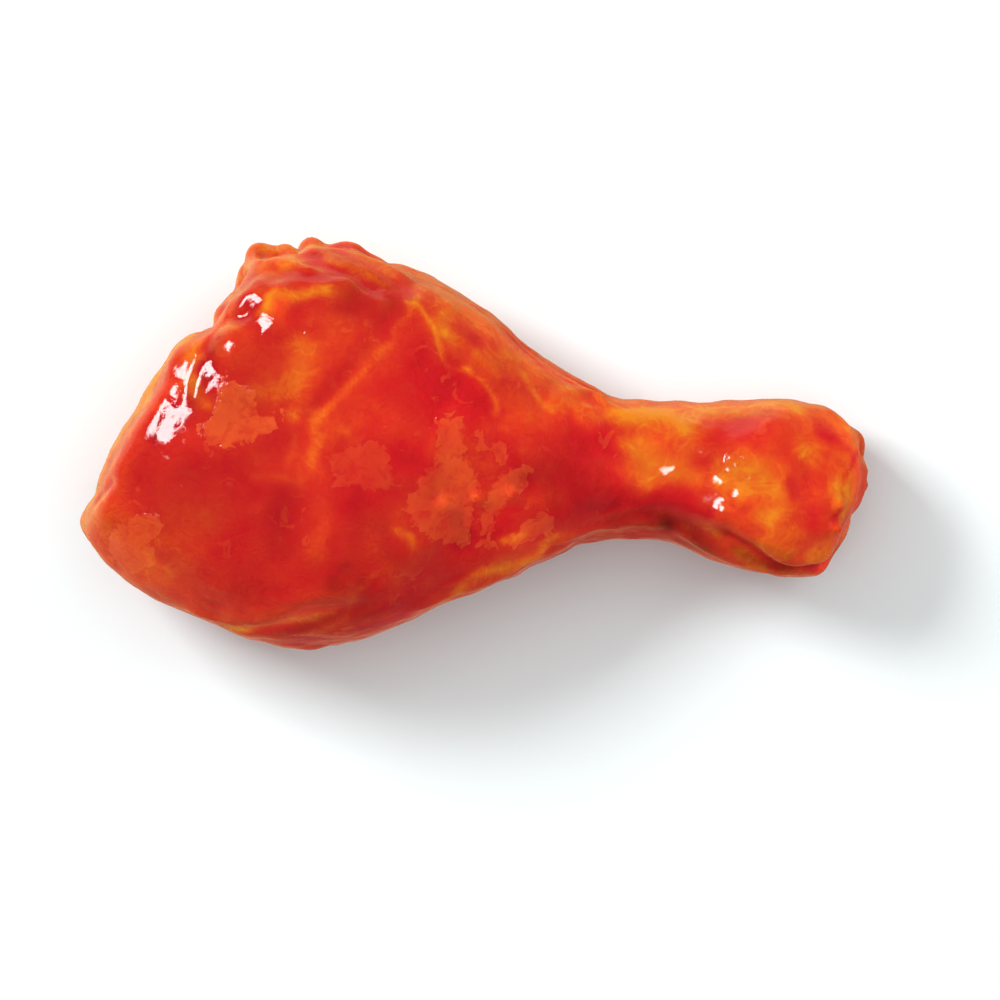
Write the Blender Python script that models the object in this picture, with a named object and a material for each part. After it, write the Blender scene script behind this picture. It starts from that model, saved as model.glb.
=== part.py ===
"""A raw chicken drumstick in a thick, glossy sauce, lying on its flatter side.

Run with: blender --background --python part.py
Metres, +Z up. The drumstick lies along X, with the thick meaty end at -X and the knuckle at +X. The
origin is under the middle of its bounding box, on the surface that it rests on. The sizes below are in
millimetres, and become metres when the mesh is made.
"""

import collections
import itertools

import bpy
import numpy as np

METRES = 0.001

# Ribs of the loft, from the thick end to the knuckle. Each is an upright section between two points of
# the outline seen from above: the far edge (x, y) and the near edge (x, y). Then come the ridge's place
# between them, as a share from far to near, the heights of the top, of the widest line and of the
# bottom, and how square the crown is (2 is an ellipse, more is fuller).
RIBS = np.array([
    # far x, far y, near x, near y, ridge, top, edge, bottom, crown
    (-36.6, 29.8, -61.9, -18.6, 0.50, 40.0, 18.0, 4.5, 3.1),
    (-33.8, 31.9, -58.0, -22.9, 0.50, 41.5, 18.5, 1.5, 3.1),
    (-29.5, 32.4, -50.9, -27.3, 0.50, 42.6, 19.0, -1.0, 3.1),
    (-24.0, 32.6, -42.0, -30.7, 0.50, 43.3, 19.5, -2.2, 3.1),
    (-18.0, 31.6, -32.5, -33.2, 0.50, 43.8, 20.0, -2.5, 3.0),
    (-11.5, 29.2, -22.5, -33.0, 0.50, 43.3, 20.0, -1.8, 3.1),
    (-5.0, 26.1, -13.0, -29.9, 0.52, 41.8, 20.0, -0.2, 3.1),
    (1.5, 21.6, -4.0, -25.6, 0.53, 39.0, 19.5, 2.5, 3.1),
    (8.0, 16.3, 4.5, -22.7, 0.55, 36.2, 18.5, 5.0, 3.0),
    (15.0, 11.5, 12.5, -18.6, 0.58, 33.0, 17.0, 6.0, 2.9),
    (21.5, 7.8, 20.0, -15.9, 0.60, 29.0, 16.0, 6.0, 2.8),
    (27.5, 6.9, 27.5, -16.1, 0.61, 27.3, 15.0, 5.0, 2.7),
    (33.0, 6.6, 34.0, -17.7, 0.60, 27.4, 14.0, 3.5, 2.8),
    (39.0, 6.8, 40.0, -19.9, 0.59, 28.3, 13.8, 1.5, 2.9),
    (44.5, 7.0, 46.0, -21.5, 0.57, 28.9, 13.6, -0.8, 3.0),
    (50.0, 7.3, 51.0, -22.2, 0.55, 28.6, 13.4, -1.8, 3.1),
    (55.5, 6.2, 54.6, -22.2, 0.53, 27.0, 12.8, -1.0, 3.2),
])
UNDERSIDE_SQUARENESS = 2.2

# How far each end bulges past its last rib, how square it is, and the share of the bulge that it keeps
# at places from the far edge (0) to the near edge (1). The dip at the thick end is a notch in the skin.
End = collections.namedtuple("End", "bulge squareness places shares")
THICK_END = End(5.8, 3.6, (0.0, 0.14, 0.2, 0.25, 0.31, 0.45, 0.8, 1.0),
                (0.2, 0.05, 0.1, 0.15, 0.8, 0.92, 1.0, 1.05))
KNUCKLE = End(8.8, 4.4, (0.0, 0.13, 0.24, 0.42, 0.55, 0.7, 0.85, 1.0),
              (0.75, 0.88, 0.98, 0.98, 0.86, 0.65, 0.5, 0.42))

# A fold is a rounded crest along a line on the skin. Places are (x, y) seen from above, or (x, y, z)
# for the nearest point of the skin, and one place alone is a lump. Left and right are how far its
# flanks reach, seen from outside along the line. A height below 0 is a groove or a dent.
Fold = collections.namedtuple("Fold", "places left right height")

BROAD_FORMS = (
    # the pointed tip and the blunt corner of the thick end
    Fold(((-63.0, -13.2, 17.0),), 5.0, 5.0, 0.8),
    Fold(((-36.5, 31.0, 24.0),), 4.0, 4.0, 0.6),
    Fold(((-36.8, 32.0, 22.0),), 2.2, 2.2, 0.9),
    Fold(((-42.6, 22.2, 24.0),), 2.2, 2.2, 1.4),
    Fold(((-21.4, 33.4, 22.0),), 2.8, 2.8, 1.2),
    # the shoulder along the neck, with a steep side under it, and the swellings of the neck and the knuckle
    Fold(((20.7, -6.4), (29.0, -7.0), (37.2, -10.2), (44.7, -14.0), (49.6, -16.8)), 9.0, 3.5, 1.7),
    Fold(((52.1, -14.6), (56.2, -14.0)), 5.0, 5.0, 1.3),
    Fold(((50.5, 0.6),), 6.0, 6.0, 1.2),
    Fold(((35.6, 2.5),), 6.0, 4.0, 0.3),
    Fold(((48.8, -8.0),), 4.5, 4.5, 0.8),
    # the flat place near the thick end's rim, which the light falls on
    Fold(((-51.5, 0.0),), 6.0, 6.0, 0.9),
    Fold(((-46.0, 15.0),), 5.0, 5.0, -0.7),
    Fold(((-40.5, 15.0),), 3.0, 3.0, 0.8),
    # dents of the knuckle and the neck
    Fold(((43.4, 3.4),), 4.0, 4.0, -1.1),
    Fold(((59.1, 1.9),), 3.5, 3.5, -0.6),
    Fold(((54.1, -4.4),), 3.5, 3.5, -0.6),
    Fold(((19.1, -1.1), (26.0, -2.5)), 5.0, 4.0, -0.9),
    # the undercut below the knuckle's lower lobe, the valley that leads to it, and the ridge under it
    Fold(((41.5, -14.9), (46.0, -17.6), (50.5, -19.9), (55.0, -20.9), (58.0, -19.8)), 1.5, 1.5, -1.7),
    Fold(((29.0, -12.4), (35.5, -13.4), (40.5, -15.4)), 2.6, 2.0, -0.7),
    Fold(((34.0, -15.6), (40.0, -18.2), (46.0, -20.2), (53.0, -21.2)), 1.3, 1.3, 0.5),
    Fold(((40.0, -12.4), (44.0, -14.1), (47.5, -16.3), (51.0, -18.3), (54.5, -19.0), (57.4, -18.2)),
         1.1, 1.1, 0.6),
    # the two muscles below the seam and the dip between them
    Fold(((-9.0, 5.0), (2.0, -4.0), (14.0, -9.0)), 7.0, 7.0, 1.3),
    Fold(((-40.0, -12.0), (-34.0, -20.0)), 9.0, 9.0, 1.2),
    Fold(((-3.0, -15.0), (8.0, -14.0)), 5.0, 5.0, -0.8),
    # the far side's groove between muscles, and two on the underside
    Fold(((-22.0, 33.0, 12.0), (-6.0, 27.0, 12.0), (8.0, 16.0, 13.0), (20.0, 8.0, 13.0)), 3.0, 3.5, -1.4),
    Fold(((-48.0, -6.0, 2.0), (-26.0, -17.0, 1.0), (-2.0, -15.0, 3.0), (20.0, -8.0, 7.0)), 3.5, 3.0, -1.6),
    Fold(((-40.0, 16.0, 1.0), (-20.0, 14.0, 1.0), (4.0, 7.0, 4.0)), 3.0, 4.0, -1.3),
    # the cut face of the thick end: a shallow hollow with the joint's two knobs in it
    Fold(((-54.6, 8.6, 18.0),), 11.0, 11.0, -1.5),
    Fold(((-51.5, 14.5, 19.0),), 5.0, 5.0, 1.5),
    Fold(((-57.0, 2.5, 18.0),), 5.5, 5.5, 1.7),
)

# Upright bulges and dents that show in the outline seen from above: the place, the lowest and highest
# ends of the line, how far it reaches to each side, and its height.
OUTLINE_FORMS = (
    # the folded skin and the edge of the thick end
    (-32.8, 33.5, 10.0, 27.0, 1.6, -1.1),
    (-29.6, 33.8, 10.0, 27.0, 1.4, -1.4),
    (-34.8, 33.2, 14.0, 27.0, 1.2, -0.6),
    (-25.0, 33.4, 10.0, 27.0, 1.6, -0.4),
    (-37.6, 31.6, 14.0, 26.0, 1.3, 0.7),
    (-40.2, 27.8, 20.0, 28.0, 2.4, -2.0),
    (-41.6, 24.0, 12.0, 28.0, 1.3, 0.7),
    (-44.0, 19.8, 10.0, 26.0, 1.2, -0.5),
    (-47.3, 18.0, 10.0, 28.0, 1.8, 0.35),
    (-55.7, 5.0, 14.0, 30.0, 2.0, -0.3),
    (-62.8, -8.6, 18.0, 28.0, 1.6, -0.7),
    (-61.0, -19.4, 14.0, 29.0, 2.0, 0.5),
    # the far side
    (-19.2, 32.5, 14.0, 26.0, 1.6, 0.4),
    (-14.3, 29.6, 14.0, 26.0, 1.2, -0.6),
    (-0.5, 23.6, 14.0, 26.0, 4.0, -0.3),
    (9.0, 15.8, 14.0, 26.0, 5.0, -0.6),
    (24.6, 7.6, 8.0, 18.0, 2.4, -0.4),
    (30.0, 7.3, 8.0, 18.0, 3.2, -0.6),
    (41.5, 6.9, 8.0, 16.0, 2.0, 0.4),
    # the near side
    (-38.4, -31.6, 12.0, 28.0, 3.5, 0.8),
    (-32.4, -33.5, 12.0, 28.0, 2.4, 0.5),
    (-1.5, -25.3, 10.0, 26.0, 3.0, 0.4),
    (5.8, -22.2, 10.0, 24.0, 2.2, 0.6),
    (17.0, -17.3, 10.0, 21.0, 3.0, -0.5),
    (27.0, -15.9, 8.0, 17.0, 3.2, 0.4),
    (41.2, -19.8, 6.0, 15.0, 2.0, -0.6),
    (46.5, -21.6, 6.0, 15.0, 2.4, -0.4),
    # the knuckle's end
    (60.6, 4.2, 6.0, 17.0, 2.0, -0.7),
    (64.3, -2.2, 8.0, 17.0, 1.8, -1.0),
    (65.2, -7.8, 9.0, 14.0, 0.9, 0.4),
    (63.6, -9.7, 8.0, 15.0, 0.9, -0.7),
    (62.4, -12.4, 8.0, 17.0, 1.4, -0.8),
    (59.8, -18.0, 6.0, 15.0, 1.6, -0.7),
)

SEAM = ((-8.7, 24.0), (-11.5, 20.1), (-14.8, 15.8), (-20.2, 9.5), (-24.5, 5.2))
BAND = ((-23.9, 3.1), (-25.2, -6.0), (-26.8, -15.9), (-30.5, -25.9))
CORNER_RIM = ((-38.6, 28.2), (-37.7, 30.6), (-36.1, 32.3), (-32.1, 32.3), (-28.8, 32.5), (-23.9, 31.6),
              (-20.6, 30.8), (-16.9, 29.3), (-12.3, 27.2))
CORNER_VALLEY = ((-39.1, 29.0), (-35.1, 31.2), (-30.5, 31.0), (-26.3, 30.0), (-21.4, 28.3), (-16.4, 25.4))
FIRST_LOBE = ((-37.5, 28.2), (-35.6, 29.3), (-33.0, 29.7), (-30.5, 29.4), (-27.5, 28.5))
SECOND_LOBE = ((-34.4, 23.9), (-32.8, 25.2), (-30.8, 25.6), (-26.8, 25.4), (-21.4, 25.9))
SKIN_EDGE = ((-9.3, 23.0), (-5.7, 18.7), (-1.1, 13.5), (4.2, 7.8), (7.5, 3.9))
NECK_CREASE = ((13.5, 7.5), (18.3, 8.2), (21.4, 6.2), (25.4, 4.5))
SLEEVE = ((63.8, 0.5, 15.0), (63.4, -2.6, 15.0), (61.9, -5.7, 17.0), (60.8, -10.2, 16.0),
          (60.2, -14.3, 14.0), (58.9, -17.3, 12.0))
CUT_RIM = ((-46.0, 21.0, 9.0), (-43.5, 21.5, 20.0), (-49.5, 15.0, 30.0), (-55.0, 5.0, 31.5),
           (-60.5, -6.0, 28.0), (-63.5, -13.0, 18.0), (-61.5, -11.0, 8.0), (-55.0, 2.0, 5.0),
           (-49.0, 14.0, 5.5), (-46.0, 21.0, 9.0))

SKIN_FOLDS = (
    Fold(SEAM, 8.0, 1.6, 0.7),
    Fold(BAND, 2.8, 3.2, 0.45),
    # the folded skin in the far left corner
    Fold(CORNER_RIM, 1.6, 2.2, 1.0),
    Fold(CORNER_VALLEY, 1.3, 1.6, -1.2),
    Fold(FIRST_LOBE, 1.5, 2.4, 1.2),
    Fold(SECOND_LOBE, 1.4, 2.4, 1.1),
    Fold(((-27.8, 33.5, 20.0),), 1.6, 1.6, 1.4),
    Fold(((-23.9, 33.2, 24.0), (-19.2, 32.3, 24.0), (-16.3, 30.6, 24.0)), 1.4, 1.4, -0.9),
    # the smaller lobes and dents along the thick end's edge
    Fold(((-32.8, 18.8), (-32.2, 20.9), (-30.6, 22.6)), 1.5, 1.5, 0.8),
    Fold(((-37.5, 23.8), (-34.6, 26.0)), 1.6, 1.6, 1.0),
    Fold(((-47.0, 16.0), (-49.0, 13.0)), 2.6, 2.6, 1.1),
    Fold(((-42.0, 19.5), (-38.0, 20.0)), 1.6, 1.6, -1.2),
    Fold(((-58.4, 1.7, 24.0),), 1.6, 1.6, -1.3),
    Fold(((-62.0, -9.5), (-59.5, -6.9)), 1.2, 1.2, -0.9),
    # folds low on the near side
    Fold(((-46.0, -27.6), (-38.7, -28.9), (-31.3, -27.8), (-28.2, -26.0), (-23.9, -23.9),
          (-21.2, -22.9)), 2.4, 1.8, 1.0),
    Fold(((-35.1, -31.0), (-28.8, -30.3), (-23.9, -28.8), (-18.9, -26.8)), 1.6, 1.6, -0.9),
    Fold(((-27.8, -33.4, 20.0),), 2.0, 2.0, 0.7),
    Fold(((-9.0, -26.4), (-0.7, -23.1), (7.5, -19.8), (14.1, -17.0)), 1.2, 1.8, 0.8),
    Fold(((14.1, -15.9), (22.4, -13.8), (30.6, -13.2)), 1.2, 1.8, 0.7),
    # soft lumps in the middle of the meat
    Fold(((-4.6, -10.6),), 1.8, 1.8, 0.8),
    Fold(((1.0, -9.8),), 1.6, 1.6, 0.7),
    Fold(((6.4, -8.8),), 1.6, 1.6, 0.8),
    Fold(((-12.3, -16.8),), 4.5, 4.5, 0.9),
    Fold(((-7.4, -4.4),), 4.0, 4.0, 0.8),
    Fold(((-13.1, 2.2),), 5.0, 5.0, 0.8),
    # the skin's edge on the far slope, and the crease where the neck starts
    Fold(SKIN_EDGE, 5.0, 2.4, 0.4),
    Fold(NECK_CREASE, 1.3, 1.8, 0.7),
    # the sleeve of skin round the knuckle's end, and the two tendon ends that stick out of it
    Fold(SLEEVE, 0.9, 2.2, 1.2),
    Fold(((64.2, -7.0, 12.0),), 1.6, 1.6, 1.6),
    Fold(((62.6, -11.2, 9.5),), 1.5, 1.5, 1.0),
    # the rim of skin round the cut face of the thick end
    Fold(CUT_RIM, 2.2, 2.2, 0.9),
)

# Soft unevenness of the meat: pairs of lump size and height.
LUMPS = ((15.0, 0.75), (7.5, 0.35), (3.8, 0.13))

BODY_RINGS = 256
THICK_END_RINGS = 75
KNUCKLE_RINGS = 44
POINTS_AROUND = 240
FORM_SMOOTHING = 24
SKIN_SMOOTHING = 2
LINE_STEP = 0.5
UPWARD = 0.05
FLOOR_BLEND = 1.0
FLOOR_SINK = 0.2
SOLID_TRIANGLES = 10500
ON_FLOOR = 0.06
SAUCE_RED = (0.56, 0.045, 0.02, 1.0)
SAUCE_ROUGHNESS = 0.22


def spline_columns(table, places):
    """The rows of table at fractional row numbers, on a natural cubic spline through each column."""
    count = len(table)
    matrix = np.eye(count)
    right = np.zeros(table.shape)
    for i in range(1, count - 1):
        matrix[i, i - 1:i + 2] = 1.0, 4.0, 1.0
        right[i] = 6.0 * (table[i - 1] - 2.0 * table[i] + table[i + 1])
    bend = np.linalg.solve(matrix, right)
    first = np.clip(np.floor(places).astype(int), 0, count - 2)
    b = (places - first)[:, None]
    a = 1.0 - b
    straight = a * table[first] + b * table[first + 1]
    return straight + ((a ** 3 - a) * bend[first] + (b ** 3 - b) * bend[first + 1]) / 6.0


def unit(vectors):
    return vectors / np.maximum(np.linalg.norm(vectors, axis=-1, keepdims=True), 1e-9)


def section_radius(rib, across, up):
    """How far a rib's outline is from its ridge line in the direction (across, up), a unit vector.

    Across is positive towards the far edge.
    """
    width = np.linalg.norm(rib[..., 0:2] - rib[..., 2:4], axis=-1)
    side = np.where(across > 0, rib[..., 4], 1.0 - rib[..., 4]) * width
    rise = np.where(up > 0, rib[..., 5] - rib[..., 6], rib[..., 6] - rib[..., 7])
    crown = 0.5 + 0.5 * np.clip(up * 2.0, -1.0, 1.0)
    power = UNDERSIDE_SQUARENESS + (rib[..., 8] - UNDERSIDE_SQUARENESS) * crown
    total = np.abs(across / side) ** power + np.abs(up / rise) ** power
    return total ** (-1.0 / power)


def end_leans(end, radius, count):
    """The angles, from the rim to the pole, at which rings are evenly spaced over a bulging end."""
    turn = np.linspace(0.0, np.pi / 2.0, 400)
    out = radius * np.cos(turn) ** (2.0 / end.squareness)
    up = end.bulge * np.sin(turn) ** (2.0 / end.squareness)
    travel = np.concatenate([[0.0], np.cumsum(np.hypot(np.diff(out), np.diff(up)))])
    wanted = np.linspace(0.0, travel[-1], count + 1)[1:]
    return np.interp(wanted, travel, np.arctan2(up, out))


def rings_of(rib, lean, end, facing):
    """Rings of points for ribs whose angles lean out over an end. Facing is -1 at -X and 1 at +X."""
    turn = np.linspace(0.0, 2.0 * np.pi, POINTS_AROUND, endpoint=False)
    rib, lean = rib[:, None, :], lean[:, None]
    width = np.linalg.norm(rib[..., 0:2] - rib[..., 2:4], axis=-1)
    direction = np.stack([width * np.cos(turn), (rib[..., 5] - rib[..., 7]) * np.sin(turn)], axis=-1)
    across, up = np.moveaxis(unit(direction), -1, 0)
    over = (np.cos(lean) / section_radius(rib, across, up)) ** end.squareness
    reach = (over + (np.sin(lean) / end.bulge) ** end.squareness) ** (-1.0 / end.squareness)
    aside = reach * np.cos(lean) * across
    share = rib[..., 4] - aside / width
    kept = np.interp(share, end.places, end.shares)
    to_far = unit(rib[..., 0:2] - rib[..., 2:4])
    outwards = facing * np.stack([to_far[..., 1], -to_far[..., 0]], axis=-1)
    ridge = rib[..., 0:2] + (rib[..., 2:4] - rib[..., 0:2]) * rib[..., 4:5]
    plan = ridge + to_far * aside[..., None] + outwards * (reach * np.sin(lean) * kept)[..., None]
    level = rib[..., 6] + reach * np.cos(lean) * up
    return np.concatenate([plan, level[..., None]], axis=-1)


def bare_form():
    """Rings of points from the thick end's pole to the knuckle's pole, with no relief."""
    last = len(RIBS) - 1.0
    widths = np.linalg.norm(RIBS[:, 0:2] - RIBS[:, 2:4], axis=1)
    body = spline_columns(RIBS, np.linspace(0.0, last, BODY_RINGS))
    thick_end = np.repeat(body[:1], THICK_END_RINGS, axis=0)
    thick_leans = end_leans(THICK_END, widths[0] / 2.0, THICK_END_RINGS)[::-1]
    knuckle = np.repeat(body[-1:], KNUCKLE_RINGS, axis=0)
    knuckle_leans = end_leans(KNUCKLE, widths[-1] / 2.0, KNUCKLE_RINGS)
    return np.concatenate([
        rings_of(thick_end, thick_leans, THICK_END, -1.0),
        rings_of(body, np.zeros(BODY_RINGS), KNUCKLE, 1.0),
        rings_of(knuckle, knuckle_leans, KNUCKLE, 1.0),
    ])


def smoothed(skin, passes):
    """The rings after each point is averaged with its neighbours, so that no rib shows as a crease."""
    for _ in range(passes):
        skin = 0.5 * skin + 0.25 * (np.roll(skin, 1, axis=1) + np.roll(skin, -1, axis=1))
        along = skin.copy()
        along[1:-1] = 0.5 * skin[1:-1] + 0.25 * (skin[:-2] + skin[2:])
        along[0] = skin[1].mean(axis=0)
        along[-1] = skin[-2].mean(axis=0)
        skin = along
    return skin


def normals_of(skin):
    """The outward direction at each point of the rings."""
    along = np.gradient(skin, axis=0)
    around = np.roll(skin, -1, axis=1) - np.roll(skin, 1, axis=1)
    outward = unit(np.cross(around, along))
    outward[0] = unit(outward[1].mean(axis=0))
    outward[-1] = unit(outward[-2].mean(axis=0))
    return outward


def line_on(skin, outward, places):
    """Closely spaced points on a smooth line through places, laid on the skin."""
    points = skin.reshape(-1, 3)
    turned_down = outward.reshape(-1, 3)[:, 2] < UPWARD
    seen_from_above = np.where(turned_down[:, None], np.inf, points)
    anchors = []
    for place in places:
        within = seen_from_above[:, :2] if len(place) == 2 else points
        anchors.append(points[np.argmin(((within - place) ** 2).sum(axis=1))])
    anchors = np.array(anchors)
    if len(anchors) < 3:
        anchors = np.linspace(anchors[0], anchors[-1], 3)
    length = np.linalg.norm(np.diff(anchors, axis=0), axis=1).sum()
    return spline_columns(anchors, np.linspace(0.0, len(anchors) - 1.0, int(length / LINE_STEP) + 3))


def raise_folds(skin, folds):
    """The skin with each fold's crest raised along the outward direction."""
    outward = normals_of(skin)
    points, directions = skin.reshape(-1, 3), outward.reshape(-1, 3)
    lift = np.zeros(len(points))
    for fold in folds:
        line = line_on(skin, outward, fold.places)
        margin = 3.0 * max(fold.left, fold.right)
        inside = (points > line.min(axis=0) - margin) & (points < line.max(axis=0) + margin)
        near = np.where(inside.all(axis=1))[0]
        gaps = points[near, None, :] - line
        closest = np.argmin((gaps ** 2).sum(axis=2), axis=1)
        gap = gaps[np.arange(len(near)), closest]
        tangent = unit(np.gradient(line, axis=0))[closest]
        at_an_end = (closest == 0) | (closest == len(line) - 1)
        past = np.where(at_an_end, (gap * tangent).sum(axis=1), 0.0)
        beside = gap - past[:, None] * tangent
        side = (np.cross(directions[near], tangent) * gap).sum(axis=1)
        flank = np.where(side > 0, fold.left, fold.right)
        tip = (fold.left + fold.right) / 2.0
        distance = (beside ** 2).sum(axis=1) / flank ** 2 + (past / tip) ** 2
        lift[near] += fold.height * np.exp(-distance)
    return skin + outward * lift.reshape(skin.shape[:2])[..., None]


def upright(x, y, lowest, highest, reach, height):
    """A fold that runs up the side of the drumstick."""
    middle = 0.5 * (lowest + highest)
    return Fold(((x, y, lowest), (x, y, middle), (x, y, highest)), reach, reach, height)


def value_noise(points, cell, seed):
    """Smooth noise from -1 to 1: random values on a cubic lattice, eased between its corners."""
    size = 32
    lattice = np.random.default_rng(seed).uniform(-1.0, 1.0, (size, size, size))
    base = np.floor(points / cell).astype(int)
    part = points / cell - base
    part = part ** 3 * (part * (part * 6.0 - 15.0) + 10.0)
    total = np.zeros(points.shape[:-1])
    for corner in itertools.product((0, 1), repeat=3):
        weight = np.where(corner, part, 1.0 - part).prod(axis=-1)
        x, y, z = np.moveaxis((base + corner) % size, -1, 0)
        total += weight * lattice[x, y, z]
    return total


def lumpy(skin, sizes):
    """The skin with soft unevenness."""
    lift = sum(height * value_noise(skin, cell, seed) for seed, (cell, height) in enumerate(sizes))
    return skin + normals_of(skin) * lift[..., None]


def on_floor(skin):
    """The skin eased flat where it rests, at Z 0, with its box centred on the Z axis."""
    level = 0.5 * (skin[..., 2] + np.hypot(skin[..., 2], FLOOR_BLEND)) - FLOOR_SINK
    skin = np.concatenate([skin[..., :2], np.maximum(level, 0.0)[..., None]], axis=-1)
    middle = 0.5 * (skin.min(axis=(0, 1)) + skin.max(axis=(0, 1)))
    return skin - (middle[0], middle[1], 0.0)


def drumstick_skin():
    """The rings of the whole drumstick, from its broad form to its folds and lumps."""
    skin = smoothed(bare_form(), FORM_SMOOTHING)
    skin = raise_folds(skin, BROAD_FORMS)
    skin = raise_folds(skin, [upright(*form) for form in OUTLINE_FORMS])
    skin = raise_folds(skin, SKIN_FOLDS)
    skin = lumpy(skin, LUMPS)
    return on_floor(smoothed(skin, SKIN_SMOOTHING))


def skin_mesh(skin):
    """A closed mesh in metres from rings of which the first and the last are poles."""
    rings, count = len(skin) - 2, skin.shape[1]
    points = np.concatenate([skin[:1, 0], skin[1:-1].reshape(-1, 3), skin[-1:, 0]]) * METRES
    first_pole, last_pole = 0, len(points) - 1
    faces = []
    for i in range(count):
        after = (i + 1) % count
        faces.append((first_pole, 1 + after, 1 + i))
        faces.append((last_pole, last_pole - count + i, last_pole - count + after))
        for start in range(1, 1 + (rings - 1) * count, count):
            faces.append((start + i, start + after, start + count + after, start + count + i))
    mesh = bpy.data.meshes.new("drumstick")
    mesh.from_pydata(points.tolist(), [], faces)
    return mesh


def fewer_faces(obj, triangles):
    """Thins out the object's faces, and keeps the spots that it rests on flat."""
    thin = obj.modifiers.new("Fewer faces", "DECIMATE")
    thin.use_collapse_triangulate = True
    thin.ratio = triangles / (2.0 * len(obj.data.polygons))
    bpy.context.view_layer.update()
    mesh = bpy.data.meshes.new_from_object(obj.evaluated_get(bpy.context.evaluated_depsgraph_get()))
    obj.modifiers.clear()
    for vertex in mesh.vertices:
        if vertex.co.z < ON_FLOOR * METRES:
            vertex.co.z = 0.0
    obj.data = mesh


def sauce_material():
    material = bpy.data.materials.new("sauced skin")
    material.use_nodes = True
    shader = material.node_tree.nodes["Principled BSDF"]
    shader.inputs["Base Color"].default_value = SAUCE_RED
    shader.inputs["Roughness"].default_value = SAUCE_ROUGHNESS
    shader.inputs["Metallic"].default_value = 0.0
    return material


def main():
    for obj in list(bpy.data.objects):
        bpy.data.objects.remove(obj)
    collection = bpy.data.collections.new("raw chicken drumstick")
    bpy.context.scene.collection.children.link(collection)
    drumstick = bpy.data.objects.new("drumstick", skin_mesh(drumstick_skin()))
    collection.objects.link(drumstick)
    fewer_faces(drumstick, SOLID_TRIANGLES)
    drumstick.data.shade_smooth()
    drumstick.data.materials.append(sauce_material())


if __name__ == "__main__":
    main()
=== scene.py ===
"""The looks of a raw chicken drumstick in a thick, glossy sauce, photographed from straight above."""
import collections
import itertools
import math

import bmesh
import bpy
import numpy as np
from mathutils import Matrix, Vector


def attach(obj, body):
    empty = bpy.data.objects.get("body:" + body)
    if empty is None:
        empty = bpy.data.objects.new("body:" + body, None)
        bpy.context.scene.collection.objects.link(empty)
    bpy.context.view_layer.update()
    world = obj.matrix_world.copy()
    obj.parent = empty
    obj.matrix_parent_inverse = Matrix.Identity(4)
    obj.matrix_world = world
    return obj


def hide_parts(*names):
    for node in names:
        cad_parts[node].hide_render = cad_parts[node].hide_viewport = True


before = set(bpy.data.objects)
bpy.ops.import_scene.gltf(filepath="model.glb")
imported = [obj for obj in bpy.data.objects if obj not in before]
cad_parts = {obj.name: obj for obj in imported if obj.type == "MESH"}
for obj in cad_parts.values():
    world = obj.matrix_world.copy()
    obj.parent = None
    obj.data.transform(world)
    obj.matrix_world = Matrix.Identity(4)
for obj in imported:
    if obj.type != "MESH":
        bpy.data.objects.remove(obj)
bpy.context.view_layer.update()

METRES = 0.001

# The form of the skin in millimetres, with the same named sizes as the solid that it covers.
RIBS = np.array([
    # far x, far y, near x, near y, ridge, top, edge, bottom, crown
    (-36.6, 29.8, -61.9, -18.6, 0.50, 40.0, 18.0, 4.5, 3.1),
    (-33.8, 31.9, -58.0, -22.9, 0.50, 41.5, 18.5, 1.5, 3.1),
    (-29.5, 32.4, -50.9, -27.3, 0.50, 42.6, 19.0, -1.0, 3.1),
    (-24.0, 32.6, -42.0, -30.7, 0.50, 43.3, 19.5, -2.2, 3.1),
    (-18.0, 31.6, -32.5, -33.2, 0.50, 43.8, 20.0, -2.5, 3.0),
    (-11.5, 29.2, -22.5, -33.0, 0.50, 43.3, 20.0, -1.8, 3.1),
    (-5.0, 26.1, -13.0, -29.9, 0.52, 41.8, 20.0, -0.2, 3.1),
    (1.5, 21.6, -4.0, -25.6, 0.53, 39.0, 19.5, 2.5, 3.1),
    (8.0, 16.3, 4.5, -22.7, 0.55, 36.2, 18.5, 5.0, 3.0),
    (15.0, 11.5, 12.5, -18.6, 0.58, 33.0, 17.0, 6.0, 2.9),
    (21.5, 7.8, 20.0, -15.9, 0.60, 29.0, 16.0, 6.0, 2.8),
    (27.5, 6.9, 27.5, -16.1, 0.61, 27.3, 15.0, 5.0, 2.7),
    (33.0, 6.6, 34.0, -17.7, 0.60, 27.4, 14.0, 3.5, 2.8),
    (39.0, 6.8, 40.0, -19.9, 0.59, 28.3, 13.8, 1.5, 2.9),
    (44.5, 7.0, 46.0, -21.5, 0.57, 28.9, 13.6, -0.8, 3.0),
    (50.0, 7.3, 51.0, -22.2, 0.55, 28.6, 13.4, -1.8, 3.1),
    (55.5, 6.2, 54.6, -22.2, 0.53, 27.0, 12.8, -1.0, 3.2),
])
UNDERSIDE_SQUARENESS = 2.2
End = collections.namedtuple("End", "bulge squareness places shares")
THICK_END = End(5.8, 3.6, (0.0, 0.14, 0.2, 0.25, 0.31, 0.45, 0.8, 1.0),
                (0.2, 0.05, 0.1, 0.15, 0.8, 0.92, 1.0, 1.05))
KNUCKLE = End(8.8, 4.4, (0.0, 0.13, 0.24, 0.42, 0.55, 0.7, 0.85, 1.0),
              (0.75, 0.88, 0.98, 0.98, 0.86, 0.65, 0.5, 0.42))

# A fold is a rounded crest along a line on the skin. Places are (x, y) seen from above, or (x, y, z)
# for the nearest point of the skin, and one place alone is a lump. Left and right are how far its
# flanks reach, seen from outside along the line. A height below 0 is a groove or a dent.
Fold = collections.namedtuple("Fold", "places left right height")

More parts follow.
